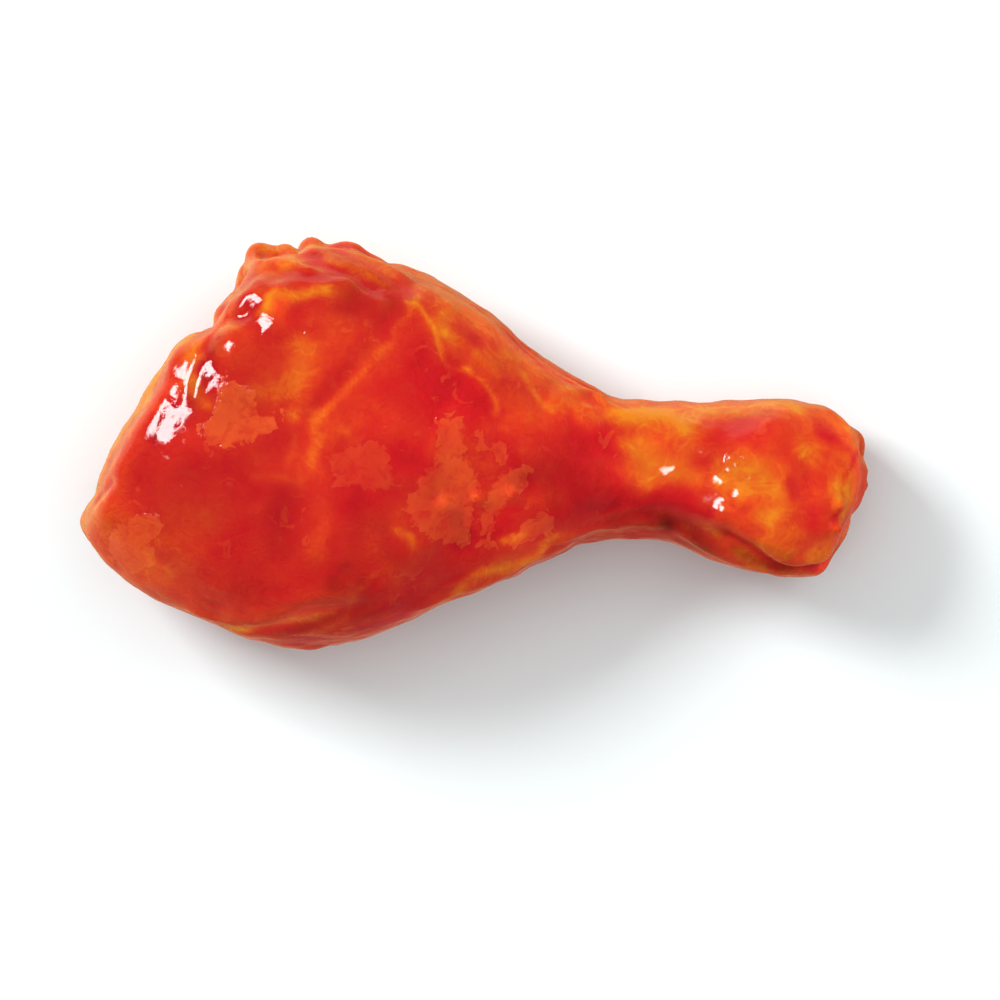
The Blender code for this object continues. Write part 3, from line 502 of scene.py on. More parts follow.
# How the sauce's colour differs from place to place, in strokes: how much, how far to the left and right
# of the line, and the places that it joins. Where the sauce lies thin it is yellow-orange (above 0), and
# where it lies thick it is crimson (below 0).
TINTS = (
    # the thick end's edge and tip
    (0.20, 3.0, (-62.0, -11.0), (-60.5, -13.5)),
    (0.36, 2.4, (-58.5, 3.0), (-55.5, 7.0), (-52.5, 11.5), (-49.5, 16.0)),
    (0.25, 1.6, (-61.5, -6.5), (-59.0, 0.0)),
    (0.46, 1.8, (-47.5, 17.0), (-46.0, 14.0), (-46.4, 9.5)),
    (0.30, 1.8, (-43.5, 19.8), (-39.5, 19.6)),
    (0.26, 1.4, (-43.8, 8.0), (-43.6, 6.0)),
    (0.46, 2.4, (-56.6, 3.4), (-54.0, 7.6), (-50.6, 13.0)),
    (0.18, 1.6, (-45.6, 16.8)),
    (0.14, 2.6, (-52.5, -20.5), (-50.0, -21.5)),
    (-0.14, 1.8, (-58.5, -17.5), (-55.5, -19.0)),
    # the wide red fields of the thick end
    (-0.14, 5.0, (-52.0, -4.0), (-44.0, -5.0), (-36.0, -6.0)),
    (-0.50, 1.8, (-51.8, 1.5), (-48.8, 4.8)),
    (0.12, 2.6, (-43.0, -12.5)),
    (-0.16, 5.5, (-40.0, -14.0), (-38.0, -22.0)),
    (-0.17, (3.0, 3.5), (-30.5, -8.0), (-30.5, -14.0), (-31.5, -24.0)),
    (-0.10, 3.0, (-35.5, 19.0), (-32.0, 17.0)),
    (-0.16, 1.8, (-29.0, 19.5), (-27.5, 18.0)),
    (-0.44, 1.4, (-44.2, 12.3), (-43.0, 8.8)),
    (-0.12, 1.8, (-38.5, 9.5)),
    (-0.12, 2.6, (-52.5, -12.0)),
    (-0.14, 3.0, (-36.5, -14.5)),
    (-0.16, 1.7, (-31.6, -12.2)),
    (-0.12, 2.2, (-40.5, -17.0)),
    (0.11, 2.2, (-32.0, -22.0)),
    (-0.10, 2.2, (-27.5, -10.5), (-29.5, -17.0)),
    # glows and streaks left of the seam and at its lower end
    (0.26, 2.5, (-29.0, 16.0), (-28.0, 12.5), (-28.5, 10.5)),
    (0.08, 5.0, (-28.5, 14.0), (-28.5, 10.5)),
    (0.12, 1.8, (-35.0, 8.6), (-31.5, 7.6)),
    (0.26, (1.2, 1.4), (-25.4, 4.3), (-25.8, 0.5), (-26.6, -3.5)),
    (0.34, 1.6, (-29.0, 4.0)),
    (0.13, 2.0, (-34.5, -2.5), (-28.5, -3.4)),
    (0.16, 0.9, (-28.6, 0.5), (-30.0, -3.5)),
    (0.22, (1.0, 1.2), (-36.0, -5.2), (-32.0, -5.4), (-28.5, -6.0)),
    (0.20, 1.1, (-21.0, 2.0), (-19.0, -1.5)),
    # the folded skin in the far left corner
    (0.34, 2.0, (-38.5, 27.2), (-33.0, 28.2), (-29.5, 30.0)),
    (-0.18, 1.4, (-27.0, 26.6), (-23.5, 27.2)),
    (0.38, 1.8, (-37.5, 31.8), (-33.0, 31.8), (-26.0, 32.0)),
    (0.22, 1.5, (-19.0, 30.8), (-13.5, 28.4)),
    (0.24, 1.4, (-24.0, 30.2), (-20.0, 28.4), (-16.0, 26.0)),
    (-0.15, 1.5, (-24.0, 27.5), (-19.0, 25.6), (-15.0, 24.0)),
    (0.44, (1.0, 1.3), (-34.1, 22.6), (-33.2, 24.2), (-30.5, 24.5), (-27.8, 24.3), (-24.2, 24.8)),
    (-0.12, 2.6, (-20.5, 22.5), (-17.0, 21.5)),
    (0.14, 1.6, (-23.5, 24.4), (-21.5, 24.6)),
    (0.16, 1.5, (-38.5, 24.0), (-35.0, 23.6), (-34.6, 20.4)),
    (-0.30, 1.5, (-38.0, 23.8), (-35.5, 23.2)),
    # the seam, and the crimson fields and paler spots right of it
    (0.26, (0.7, 0.5), *SEAM),
    (-0.22, 1.6, (-14.2, 17.5), (-11.8, 20.5)),
    (0.08, 2.2, (-23.0, 16.5), (-19.0, 13.0)),
    (-0.22, 3.4, (-13.5, 9.0), (-9.5, 5.5)),
    (-0.20, 3.4, (-18.5, -1.0), (-19.0, -9.0)),
    (-0.14, 1.2, (-22.0, -4.0), (-22.5, -7.5)),
    (0.14, 1.8, (-20.0, 3.4)),
    (-0.30, 2.6, (-11.5, -2.6), (-7.0, -4.5)),
    (-0.22, 1.6, (-6.8, -5.8), (-8.6, -12.0)),
    (-0.10, 3.0, (-15.0, -10.5)),
    (-0.34, (2.4, 3.0), (-8.8, 15.0), (-8.0, 12.0), (-5.5, 8.5)),
    (-0.24, 4.0, (-3.5, 10.0), (-0.5, 6.5), (2.5, 3.0)),
    (-0.20, 1.6, (-5.8, 3.6), (-4.6, 1.5)),
    (-0.10, 4.0, (-16.0, -18.0), (-9.0, -20.0), (-1.0, -18.0)),
    (0.28, (0.7, 0.8), (-12.6, -14.6), (-10.5, -15.5), (-9.5, -17.2)),
    (-0.50, 1.9, (-2.4, -12.0), (-2.2, -15.5)),
    (-0.13, 2.4, (-13.0, -16.0)),
    (-0.16, 1.6, (4.2, -0.8)),
    (0.18, 1.6, (8.0, -1.2)),
    (-0.18, 1.4, (2.4, -11.5)),
    (-0.22, 2.0, (3.0, -14.5), (6.5, -11.0)),
    (0.38, 0.8, (5.0, -15.8), (8.5, -14.8)),
    (-0.08, 2.4, (-21.0, -12.0), (-20.5, -22.0)),
    (-0.15, 1.7, (-20.4, 12.4)),
    (-0.14, 1.2, (-25.5, 6.2)),
    (-0.08, 2.6, (-21.5, 14.5), (-18.0, 17.0)),
    (0.18, 1.6, (2.8, 3.0), (5.0, 2.6)),
    # the folds low on the near side
    (-0.20, 1.6, (-19.0, -28.6), (-12.5, -26.6)),
    (-0.18, 2.2, (-26.8, -22.0), (-22.5, -22.3)),
    (-0.34, 2.0, (-27.0, -32.4), (-19.0, -30.4), (-12.0, -29.0)),
    (0.32, 1.6, (-40.0, -30.4), (-32.0, -29.6), (-24.0, -28.0)),
    (-0.16, 1.2, (-30.0, -30.8), (-26.0, -29.4), (-22.5, -28.0)),
    (-0.14, 1.4, (-36.0, -32.6), (-28.0, -32.8)),
    (0.14, 1.2, (-20.0, -24.5), (-21.0, -28.0)),
    (0.14, 1.4, (-20.0, -23.0)),
    (0.24, 0.8, (-18.5, -23.6), (-16.5, -22.2)),
    (0.36, (1.2, 1.3), (13.3, -15.8), (8.5, -19.0), (3.4, -21.4), (-1.9, -24.0), (-6.5, -26.2)),
    (0.15, 1.5, (4.4, -19.6), (8.6, -17.6)),
    (-0.16, 2.2, (-2.5, -22.5)),
    (-0.26, 3.0, (-17.5, -24.0), (-9.0, -26.5)),
    (-0.14, 1.8, (-8.5, -21.0), (-9.5, -24.0)),
    # the mottled skin of the far slope, with its veins and yellow spots
    (0.24, 4.5, (-4.0, 19.0), (2.0, 14.5), (9.0, 11.0), (16.0, 8.5)),
    (-0.24, 1.5, (-2.5, 18.6), (0.5, 16.0)),
    (-0.26, 2.2, (-5.0, 23.8)),
    (-0.18, 1.5, (5.5, 10.4), (8.0, 9.6)),
    (0.30, (0.6, 0.7), (-11.2, 22.7), (-9.0, 22.2), (-6.5, 19.1), (-5.7, 15.4), (-4.5, 12.5), (-1.2, 12.5)),
    (0.28, (0.6, 0.7), (-1.2, 12.5), (1.6, 9.3), (4.0, 6.0), (3.7, 4.4)),
    (0.28, (0.7, 0.8), (8.2, 10.8), (11.0, 7.7), (12.6, 6.0)),
    (0.16, 1.2, (20.0, 7.4), (22.0, 7.0)),
    (0.30, 0.6, (-5.2, 21.1)),
    (0.32, 0.8, (-4.5, 17.8)),
    (0.20, 0.8, (0.4, 14.3)),
    (0.20, 1.2, (4.9, 14.6)),
    (-0.15, 2.0, (-1.0, 15.8), (4.5, 15.6)),
    (-0.20, 1.5, (12.0, 12.0), (16.5, 9.4)),
    # the crimson start of the neck, and the neck's near side
    (-0.18, 3.4, (14.0, -1.0), (18.5, -3.5)),
    (-0.24, 2.0, (7.0, -3.0), (8.0, -7.0)),
    (-0.24, 1.8, (20.5, 1.4), (23.5, -2.0)),
    (-0.28, 2.8, (12.0, -12.2), (18.0, -10.5), (23.0, -9.5)),
    (-0.14, 2.4, (12.0, -5.5), (19.0, -7.5)),
    (0.14, 2.0, (22.0, 4.8), (18.5, 4.0)),
    (-0.30, 1.6, (27.5, -11.0), (33.0, -11.2), (38.0, -12.2)),
    (0.16, 1.0, (20.0, -12.4), (27.0, -11.4), (33.0, -11.8), (38.0, -13.6)),
    (0.10, (0.9, 1.0), (20.0, -14.8), (26.0, -14.6), (33.0, -16.0), (38.5, -18.2)),
    (0.12, 3.0, (3.0, 2.0), (8.0, 4.5), (13.0, 3.0)),
    (-0.18, 1.9, (14.5, 3.2), (17.0, 1.6)),
    (-0.18, 1.7, (21.5, 0.6), (25.5, 2.2)),
    (-0.18, 1.1, (33.0, -16.4), (38.0, -18.4)),
    (0.16, 1.0, (30.0, -11.6), (35.0, -13.4), (39.5, -15.2)),
    # the yellow-orange top of the neck, and the knuckle with its red dents and yellow spots
    (0.32, 4.0, (25.0, 3.5), (32.0, 3.0), (36.0, 1.5)),
    (-0.26, 1.5, (22.8, 6.5), (25.0, 5.6)),
    (0.13, 1.6, (33.0, 3.0), (38.5, 4.2)),
    (0.16, 1.6, (57.5, 4.4), (61.5, 2.4)),
    (0.17, 1.7, (25.2, 0.0), (27.8, -3.6), (28.4, -7.0)),
    (-0.34, 1.7, (37.4, -3.0), (37.6, -7.0)),
    (0.30, 2.0, (27.0, 0.0), (30.5, -2.4)),
    (-0.26, 1.8, (31.0, -8.2), (34.0, -8.8)),
    (0.34, 2.8, (24.0, -3.0), (29.0, -4.5), (36.0, -5.0)),
    (0.18, 1.6, (33.8, 2.7)),
    (-0.16, 2.6, (38.5, 3.0), (42.5, 2.6), (46.5, 2.2)),
    (0.44, 3.4, (39.0, -5.5), (44.0, -7.5), (49.0, -8.5)),
    (-0.20, 1.8, (38.0, 0.6)),
    (0.28, 2.6, (44.0, -3.0), (48.0, -3.8)),
    (-0.24, (1.5, 1.3), (45.6, -10.0), (48.6, -10.2)),
    (-0.28, 1.3, (57.0, 1.5), (60.0, -0.5), (62.0, -2.5)),
    (0.13, 2.0, (56.4, -8.2)),
    (-0.24, 1.2, (51.6, -6.0), (51.8, -8.5)),
    (0.22, 2.4, (55.5, -3.6)),
    (0.40, 1.9, (54.5, -1.2)),
    (0.40, 2.2, (24.0, 5.6), (34.0, 5.0), (44.0, 5.0), (53.0, 5.6)),
    (0.30, 2.2, (61.5, -1.0), (62.0, -5.0), (61.0, -11.0)),
    (0.16, 1.8, (56.5, 0.5), (55.5, 2.5)),
    (0.34, 1.5, (60.2, -6.5), (59.8, -9.5)),
    (0.36, 1.5, (46.8, -12.2), (49.0, -11.5)),
    (0.26, 1.5, (43.5, -18.2), (46.0, -19.4)),
    (0.26, 1.7, (47.5, -16.6), (50.6, -18.2)),
    (0.08, 1.6, (39.5, -14.8), (42.5, -16.2), (45.4, -17.6)),
    (-0.24, 1.0, (49.5, -21.2), (53.0, -21.8)),
    (-0.30, 0.6, (62.9, -1.5), (61.4, -5.4), (60.2, -9.4), (59.6, -13.0)),
    (0.10, 1.8, (60.0, -12.0), (58.8, -16.0)),
    (-0.14, 1.6, (55.5, -12.0), (56.0, -14.5)),
    (0.34, 1.8, (55.5, -18.2), (57.8, -18.6)),
    (0.18, 1.8, (49.0, -14.5), (52.0, -15.0)),
    (0.30, 1.0, (44.0, -20.3), (50.0, -21.4), (56.0, -22.0)),
    (-0.40, 0.8, (55.2, -19.9), (56.6, -20.4)),
    (0.20, (1.4, 2.0), *SLEEVE),
    # the rim of the cut face
    (0.12, 2.2, *CUT_RIM),
)

# Painted shade and light in the sauce's colour: strokes that darken it where shade falls in folds and under
# the knuckle's lower lobe, or where the studio lights it too brightly, as on the thick end (above 0), and
# lighten it where the studio's light falls short, as on the knuckle's end and the far slope (below 0).
PAINTED_SHADE_AND_LIGHT = (
    # the thick end
    (0.20, 7.0, (-52.0, -5.0), (-44.0, -8.0), (-34.0, -10.0)),
    (0.12, 2.6, (-46.0, -4.5), (-38.0, -3.0), (-30.5, 0.5)),
    (0.16, 3.0, (-30.5, -9.0), (-31.5, -17.0)),
    (0.14, 5.0, (-60.0, -14.0), (-52.0, -16.0), (-46.0, -25.0), (-38.0, -23.0)),
    (0.16, 6.5, (-40.0, 10.0), (-32.0, 16.0), (-26.0, 21.0)),
    (0.18, 3.5, (-34.0, 26.5), (-27.0, 28.0), (-20.0, 25.5)),
    (0.16, 2.4, (-36.0, 29.0), (-38.5, 23.6), (-39.0, 19.5)),
    (0.26, 1.8, (-42.0, 17.0), (-44.0, 12.0), (-47.5, 4.5), (-52.0, 2.0)),
    (0.10, 3.5, (-41.5, 3.0), (-32.0, 9.0)),
    (0.10, 3.5, (-48.5, -12.0), (-44.0, -12.5)),
    (0.13, 1.6, (-36.0, 22.6), (-34.6, 19.8)),
    (-0.16, 1.5, (-32.5, -29.4), (-30.0, -28.0)),
    (0.13, 2.0, (-35.0, 31.0), (-31.0, 31.4)),
    (-0.10, 2.4, (-52.0, -20.0)),
    (-0.09, 2.4, (-57.0, -10.5)),
    (-0.38, 1.8, (-38.0, -30.4), (-32.0, -29.4), (-27.0, -27.0)),
    (-0.18, 2.4, (-60.0, -20.5), (-53.0, -23.5), (-48.0, -24.5)),
    (-0.12, 2.0, (-34.0, -33.0), (-20.0, -32.0), (-10.0, -29.0)),
    (-0.15, 1.6, (-31.4, 22.4), (-30.6, 20.0)),
    (-0.24, 1.4, (-38.0, -30.8), (-33.0, -30.2), (-29.0, -28.6), (-23.0, -27.0)),
    (0.16, 1.1, (-32.0, -31.4), (-27.0, -30.4), (-23.0, -28.4)),
    (0.13, 2.6, (-63.0, -11.0), (-59.0, -2.0), (-53.0, 8.0), (-47.0, 16.0), (-41.0, 24.0), (-37.5, 31.0)),
    (0.12, 1.8, (-36.0, 32.0), (-28.0, 33.0), (-19.0, 31.5)),
    # the middle of the meat
    (0.26, 2.2, (-25.5, 31.0), (-21.0, 29.6), (-15.5, 26.6)),
    (0.20, 3.5, (-20.0, 22.5), (-16.0, 22.0), (-13.0, 24.0)),
    (0.14, (0.9, 1.6), (-13.4, 22.4), (-17.0, 16.8), (-21.6, 11.2), (-27.0, 5.2)),
    (0.10, (2.0, 1.2), (-10.4, 23.4), (-13.4, 18.6), (-16.5, 14.4)),
    (0.10, 2.2, (-8.6, 23.6), (-6.6, 21.4)),
    (0.03, 1.2, (-17.5, 15.2), (-20.6, 11.0), (-25.6, 5.4)),
    (0.09, 1.6, (-16.0, 29.6), (-9.0, 25.6), (-4.0, 23.4)),
    (0.13, 1.8, (-19.0, 30.8), (-13.0, 28.6), (-9.0, 26.4)),
    (0.12, 1.6, (1.8, 19.4)),
    (-0.14, 2.0, (-6.0, 10.6), (-5.0, 8.0)),
    (0.08, 3.0, (-14.0, -5.5)),
    (0.16, 2.8, (-19.0, -10.5), (-19.5, -18.0)),
    (0.14, 3.4, (-15.0, -12.0), (-9.0, -5.0)),
    (0.30, 1.6, (-23.0, -22.5), (-21.5, -20.5)),
    (0.12, 2.4, (-18.0, -23.0), (-16.0, -27.0)),
    (0.20, 3.0, (8.0, -5.5), (13.0, -4.0), (17.0, -6.0)),
    (0.12, 1.8, (6.5, -7.0), (10.5, -6.0), (13.0, -9.6)),
    (-0.06, 3.0, (-19.0, 4.0), (-9.0, 3.0)),
    (-0.22, 2.6, (-6.0, 8.6), (-1.0, 8.5)),
    (-0.08, 4.5, (-14.0, 3.0), (-6.0, 2.0)),
    (0.10, 2.4, (-3.5, 16.4), (1.0, 19.0)),
    (0.14, 1.6, (10.5, 12.4), (15.5, 9.4)),
    (-0.12, 2.6, (-12.0, -3.4)),
    (-0.13, 2.4, (-3.5, -11.0), (3.0, -12.5)),
    (0.14, 1.4, (-20.0, -28.6), (-17.0, -28.0)),
    (0.10, 1.6, (-22.8, -23.6)),
    (-0.10, 1.6, (-24.0, -13.0), (-24.4, -17.0)),
    (-0.17, 3.6, (-2.0, 5.0), (8.0, 3.0), (20.0, 5.5)),
    (-0.34, 2.8, (2.0, 19.0), (8.0, 14.5), (14.0, 10.5)),
    (-0.26, 3.6, (8.0, -9.5), (7.0, -14.0), (10.0, -18.0)),
    (-0.26, 2.2, (-13.0, -29.0), (0.0, -24.5), (8.0, -20.5)),
    (0.13, 2.0, (-15.0, -14.6), (-14.2, -18.6)),
    # the neck
    (0.12, 1.6, (12.0, 10.6), (18.0, 8.6)),
    (0.07, 2.0, (22.0, 3.8), (36.0, 3.0)),
    (-0.13, 2.4, (15.5, 5.0), (20.0, 1.6), (23.5, -5.0)),
    (-0.13, 2.0, (12.0, -14.4)),
    (0.14, 3.4, (28.0, -3.5), (33.0, -3.0), (36.0, 1.5)),
    (0.10, 2.0, (30.0, 4.6), (40.0, 4.6), (48.0, 5.2)),
    (0.34, 1.8, (23.0, -12.5), (31.0, -12.6)),
    (0.52, 2.8, (32.4, -13.6), (35.4, -14.0), (36.6, -16.4)),
    (0.30, 1.6, (32.0, -16.0), (36.0, -17.0), (40.0, -18.2)),
    (0.14, 1.8, (12.5, 8.4)),
    (-0.12, 1.5, (18.6, -9.4), (22.0, -8.8)),
    (-0.12, 1.8, (17.8, 7.6)),
    (-0.12, 2.4, (16.0, -15.5), (24.0, -11.5)),
    # the knuckle
    (0.09, 1.8, (43.0, 5.0), (50.0, 4.6)),
    (-0.40, 1.8, (61.4, -11.8), (59.4, -16.4)),
    (0.13, 3.2, (40.5, -3.0), (46.5, -5.5)),
    (0.12, 1.8, (38.0, -10.0), (40.5, -12.4)),
    (0.18, 1.6, (38.2, -12.6), (40.8, -15.4), (44.4, -16.4)),
    (0.26, 1.2, (45.5, -16.4), (48.6, -17.8), (51.6, -18.6)),
    (0.40, (1.2, 1.4), (43.5, -18.0), (47.0, -19.4), (52.0, -20.8)),
    (-0.20, 3.0, (53.0, -3.0), (55.0, -10.0), (55.0, -18.0)),
    (-0.70, 2.6, (62.0, 2.0), (63.5, -5.0), (62.0, -12.0), (58.0, -20.0)),
    (-0.12, 2.4, (55.5, 2.0)),
)

# What else makes the sauce more orange: fine crests, meat that stands out, and steep skin on the far and left
# sides, partly thin sauce there and partly painted light from the soft box's side. A crest or a bulk is what
# stands out from the skin after so many smoothing passes.
TINT_BASE = 0.40
CREST_PASSES = 10
CREST_LIMIT = 0.08
CREST_TINT = 0.7
BULK_PASSES = 120
BULK_LIMITS = (-0.7, 0.9)
BULK_TINT = 0.06
STEEP_LIT_TINT = 0.34

# How far the strokes' edges wander, and noise that is weaker where the skin is seen from above.
WANDER_CELL = 3.2
WANDER_REACH = 0.7
TINT_NOISE = ((9.0, 0.10), (4.4, 0.10), (2.2, 0.06))
NOISE_FADE = 2.5
NOISE_LEFT = 0.3

# Painted reflections: the outlines, seen from above, of pale sharp-edged patches where the gloss mirrors soft
# light, painted as smears of a second, lighter film of sauce on the first, each with how much it covers.
PAINTED_REFLECTIONS = (
    (0.95, ((-41.5, 10.7), (-37.8, 9.5), (-35.6, 8.2), (-35.8, 5.2), (-33.8, 4.1), (-31.5, 5.0), (-31.0, 4.6),
            (-33.4, 1.6), (-36.2, 0.2), (-40.8, -0.9), (-43.6, 0.2), (-44.2, 1.8), (-44.9, 2.7), (-42.9, 3.8),
            (-41.9, 6.0), (-41.7, 8.5))),
    (0.60, ((-59.1, -14.3), (-55.9, -12.6), (-53.3, -11.6), (-51.4, -12.4), (-50.9, -15.6), (-53.3, -16.2),
            (-51.5, -19.4), (-55.6, -22.2), (-60.2, -18.2))),
    (0.30, ((-24.0, -2.2), (-16.4, 0.9), (-14.3, -1.9), (-12.5, -6.9), (-16.3, -7.5), (-22.9, -7.2))),
    (0.60, ((-6.4, 3.6), (-3.2, 4.6), (-1.7, 3.2), (-1.4, -2.2), (0.2, -4.9), (0.4, -7.5), (-0.5, -12.2),
            (-0.9, -16.2), (-2.4, -17.1), (-8.7, -14.9), (-11.4, -10.9), (-10.6, -9.0), (-9.0, -6.7),
            (-8.2, -4.4), (-6.7, -3.6), (-6.0, -0.4))),
    (0.45, ((0.2, 1.8), (1.6, 1.9), (2.0, -1.0), (0.6, -2.2))),
    (0.50, ((2.6, 0.9), (4.6, 0.2), (5.8, -2.2), (4.6, -3.6), (3.0, -2.0))),
    (0.55, ((0.6, -17.1), (1.0, -12.2), (2.2, -9.2), (4.2, -5.4), (8.4, -3.8), (9.4, -4.6), (8.2, -7.2),
            (5.4, -9.8), (2.6, -13.2), (2.3, -15.4), (4.4, -17.2))),
    (0.55, ((4.0, -17.4), (8.6, -13.4), (11.6, -10.5), (13.5, -13.0), (13.1, -14.6), (7.8, -16.8))),
)
SHEEN_AND_FILM_FADE = 3.0

# The smears on the sides and the underside, as pairs of cell size and height, how much of the skin they
# leave free, how fast they end towards the top, and how much they cover.
SIDE_SMEARS = ((11.0, 5.0), (5.0, 2.0))
SIDE_FREE = 2.1
SIDE_END = 6.0
SIDE_COVER = 0.6


def strokes(rows):
    """Folds from rows of an amount, a reach or a pair of them, and places."""
    for amount, reach, *places in rows:
        left, right = np.broadcast_to(reach, 2)
        yield Fold(places, left, right, amount)


def tint_of(skin):
    """How orange the sauce is at each point, from crimson (0) to yellow-orange (1)."""
    outward = normals_of(skin)
    crest = ((skin - smoothed(skin, CREST_PASSES)) * outward).sum(axis=-1)
    bulk = ((skin - smoothed(skin, BULK_PASSES)) * outward).sum(axis=-1)
    tint = TINT_BASE + CREST_TINT * np.clip(crest, -CREST_LIMIT, CREST_LIMIT)
    tint += BULK_TINT * np.clip(bulk, *BULK_LIMITS)
    wandered = skin.copy()
    for axis in range(3):
        wandered[..., axis] += WANDER_REACH * value_noise(skin, WANDER_CELL, WANDER_SEED + 2 * axis)
    tint += fold_field(wandered, strokes(TINTS))
    to_right, to_far, up = np.moveaxis(outward, -1, 0)
    # about 1 on the far and the left side, which the soft box lights, and 0 on the near side, which lies in
    # shade
    lit_side = np.clip(0.6 + 0.7 * to_far - 0.4 * to_right, 0.0, 1.0)
    # 1 where the skin is upright or turned down, and 0 where it faces up
    steep = np.clip(1.3 - 2.2 * up, 0.0, 1.0)
    # painted light: steep skin more orange on the sides that the soft box lights
    tint += STEEP_LIT_TINT * lit_side * steep
    tint += np.clip(1.0 - NOISE_FADE * up, NOISE_LEFT, 1.0) * layered_noise(skin, TINT_NOISE, TINT_SEED)
    return tint


def distances_inside(plan, corners):
    """How far each point is inside (above 0) or outside (below 0) of a closed outline."""
    inside = np.zeros(len(plan), dtype=bool)
    away = np.full(len(plan), np.inf)
    for start, end in zip(corners, np.roll(corners, -1, axis=0)):
        along = end - start
        share = np.clip(((plan - start) @ along) / (along @ along), 0.0, 1.0)
        away = np.minimum(away, np.linalg.norm(plan - start - share[:, None] * along, axis=1))
        if start[1] != end[1]:
            level = (start[1] > plan[:, 1]) != (end[1] > plan[:, 1])
            inside ^= level & (plan[:, 0] < start[0] + (plan[:, 1] - start[1]) * along[0] / along[1])
    return np.where(inside, away, -away)


def sheen_and_film_of(skin):
    """How far inside a painted reflection or a lighter smear each point is, and how much of what is below it
    that covers.
    """
    outward = normals_of(skin)
    plan = skin[..., :2].reshape(-1, 2)
    sheen_and_film = np.full(len(plan), -SHEEN_AND_FILM_FADE)
    cover = np.zeros(len(plan))
    for share, outline in PAINTED_REFLECTIONS:
        here = distances_inside(plan, np.array(outline))
        cover = np.where(here > sheen_and_film, share, cover)
        sheen_and_film = np.maximum(sheen_and_film, here)
    from_above = outward[..., 2] > UPWARD
    sheen_and_film = np.where(from_above, sheen_and_film.reshape(from_above.shape), -SHEEN_AND_FILM_FADE)
    aside = layered_noise(skin, SIDE_SMEARS, FILM_SEED) - SIDE_FREE
    aside -= SIDE_END * np.clip(outward[..., 2] - 2.0 * UPWARD, 0.0, 1.0)
    cover = np.where(aside > sheen_and_film, SIDE_COVER, cover.reshape(from_above.shape))
    return np.clip(np.maximum(sheen_and_film, aside), -SHEEN_AND_FILM_FADE, SHEEN_AND_FILM_FADE), cover


def skin_mesh(skin):
    """A closed mesh in metres from rings of which the first and the last are poles."""
    rings, count = len(skin) - 2, skin.shape[1]
    points = np.concatenate([skin[:1, 0], skin[1:-1].reshape(-1, 3), skin[-1:, 0]]) * METRES
    first_pole, last_pole = 0, len(points) - 1
    faces = []
    for i in range(count):
        after = (i + 1) % count
        faces.append((first_pole, 1 + after, 1 + i))
        faces.append((last_pole, last_pole - count + i, last_pole - count + after))
        for start in range(1, 1 + (rings - 1) * count, count):
            faces.append((start + i, start + after, start + count + after, start + count + i))
    mesh = bpy.data.meshes.new("drumstick_skin")
    mesh.from_pydata(points.tolist(), [], faces)
    mesh.shade_smooth()
    return mesh


def store(mesh, name, grid):
    """Keeps a value for each point of the rings as an attribute of the mesh."""
    values = np.concatenate([grid[:1, 0], grid[1:-1].reshape(-1), grid[-1:, 0]])
    attribute = mesh.attributes.new(name, "FLOAT", "POINT")
    attribute.data.foreach_set("value", values.astype(np.float32))


class Nodes:
    """Short ways to add and link a material's nodes."""

    def __init__(self, tree):
        self.tree = tree

    def link(self, value, socket):
        if isinstance(value, bpy.types.NodeSocket):
            self.tree.links.new(value, socket)
        else:
            socket.default_value = value

    def math(self, operation, a, b=0.5, clamp=False):
        node = self.tree.nodes.new("ShaderNodeMath")
        node.operation = operation
        node.use_clamp = clamp
        self.link(a, node.inputs[0])
        self.link(b, node.inputs[1])
        return node.outputs[0]

    def plus(self, a, b):
        return self.math("ADD", a, b)

    def times(self, a, b):
        return self.math("MULTIPLY", a, b)

    def attribute(self, name):
        node = self.tree.nodes.new("ShaderNodeAttribute")
        node.attribute_name = name
        return node.outputs["Fac"]

    def noise(self, vector, scale, detail=2.0, distortion=0.0):
        """Noise from -0.5 to 0.5 with this many cells to the vector's unit."""
        node = self.tree.nodes.new("ShaderNodeTexNoise")
        node.inputs["Scale"].default_value = scale
        node.inputs["Detail"].default_value = detail
        node.inputs["Distortion"].default_value = distortion
        self.link(vector, node.inputs["Vector"])
        return self.math("SUBTRACT", node.outputs["Fac"], 0.5)

    def between(self, value, low, high):
        """A smooth step from 0 at low to 1 at high."""
        node = self.tree.nodes.new("ShaderNodeMapRange")
        node.interpolation_type = "SMOOTHSTEP"
        self.link(value, node.inputs["Value"])
        node.inputs["From Min"].default_value = low
        node.inputs["From Max"].default_value = high
        return node.outputs["Result"]

    def mix(self, share, a, b, clamp=True):
        node = self.tree.nodes.new("ShaderNodeMix")
        node.data_type = "RGBA"
        node.clamp_factor = clamp
        self.link(share, node.inputs["Factor"])
        self.link(a, node.inputs["A"])
        self.link(b, node.inputs["B"])
        return node.outputs["Result"]

    def ramp(self, value, stops):
        node = self.tree.nodes.new("ShaderNodeValToRGB")
        ramp = node.color_ramp
        while len(ramp.elements) < len(stops):
            ramp.elements.new(0.5)
        for element, (place, colour) in zip(ramp.elements, stops):
            element.position = place
            element.color = colour
        self.link(value, node.inputs["Fac"])
        return node.outputs["Color"]

    def bump(self, height, distance, strength, below=None):
        node = self.tree.nodes.new("ShaderNodeBump")
        node.inputs["Distance"].default_value = distance
        node.inputs["Strength"].default_value = strength
        self.link(height, node.inputs["Height"])
        if below is not None:
            self.link(below, node.inputs["Normal"])
        return node.outputs["Normal"]


def linear(value):
    """The linear share of light for a display value from 0 to 255."""
    share = value / 255.0
    return share / 12.92 if share <= 0.04045 else ((share + 0.055) / 1.055) ** 2.4


def lit_colour(red, green, blue):
    """The surface colour that looks like this, from 0 to 255, where it faces up in the studio's light."""
    return tuple(linear(value) / LIGHT_ON_TOP for value in (red, green, blue)) + (1.0,)


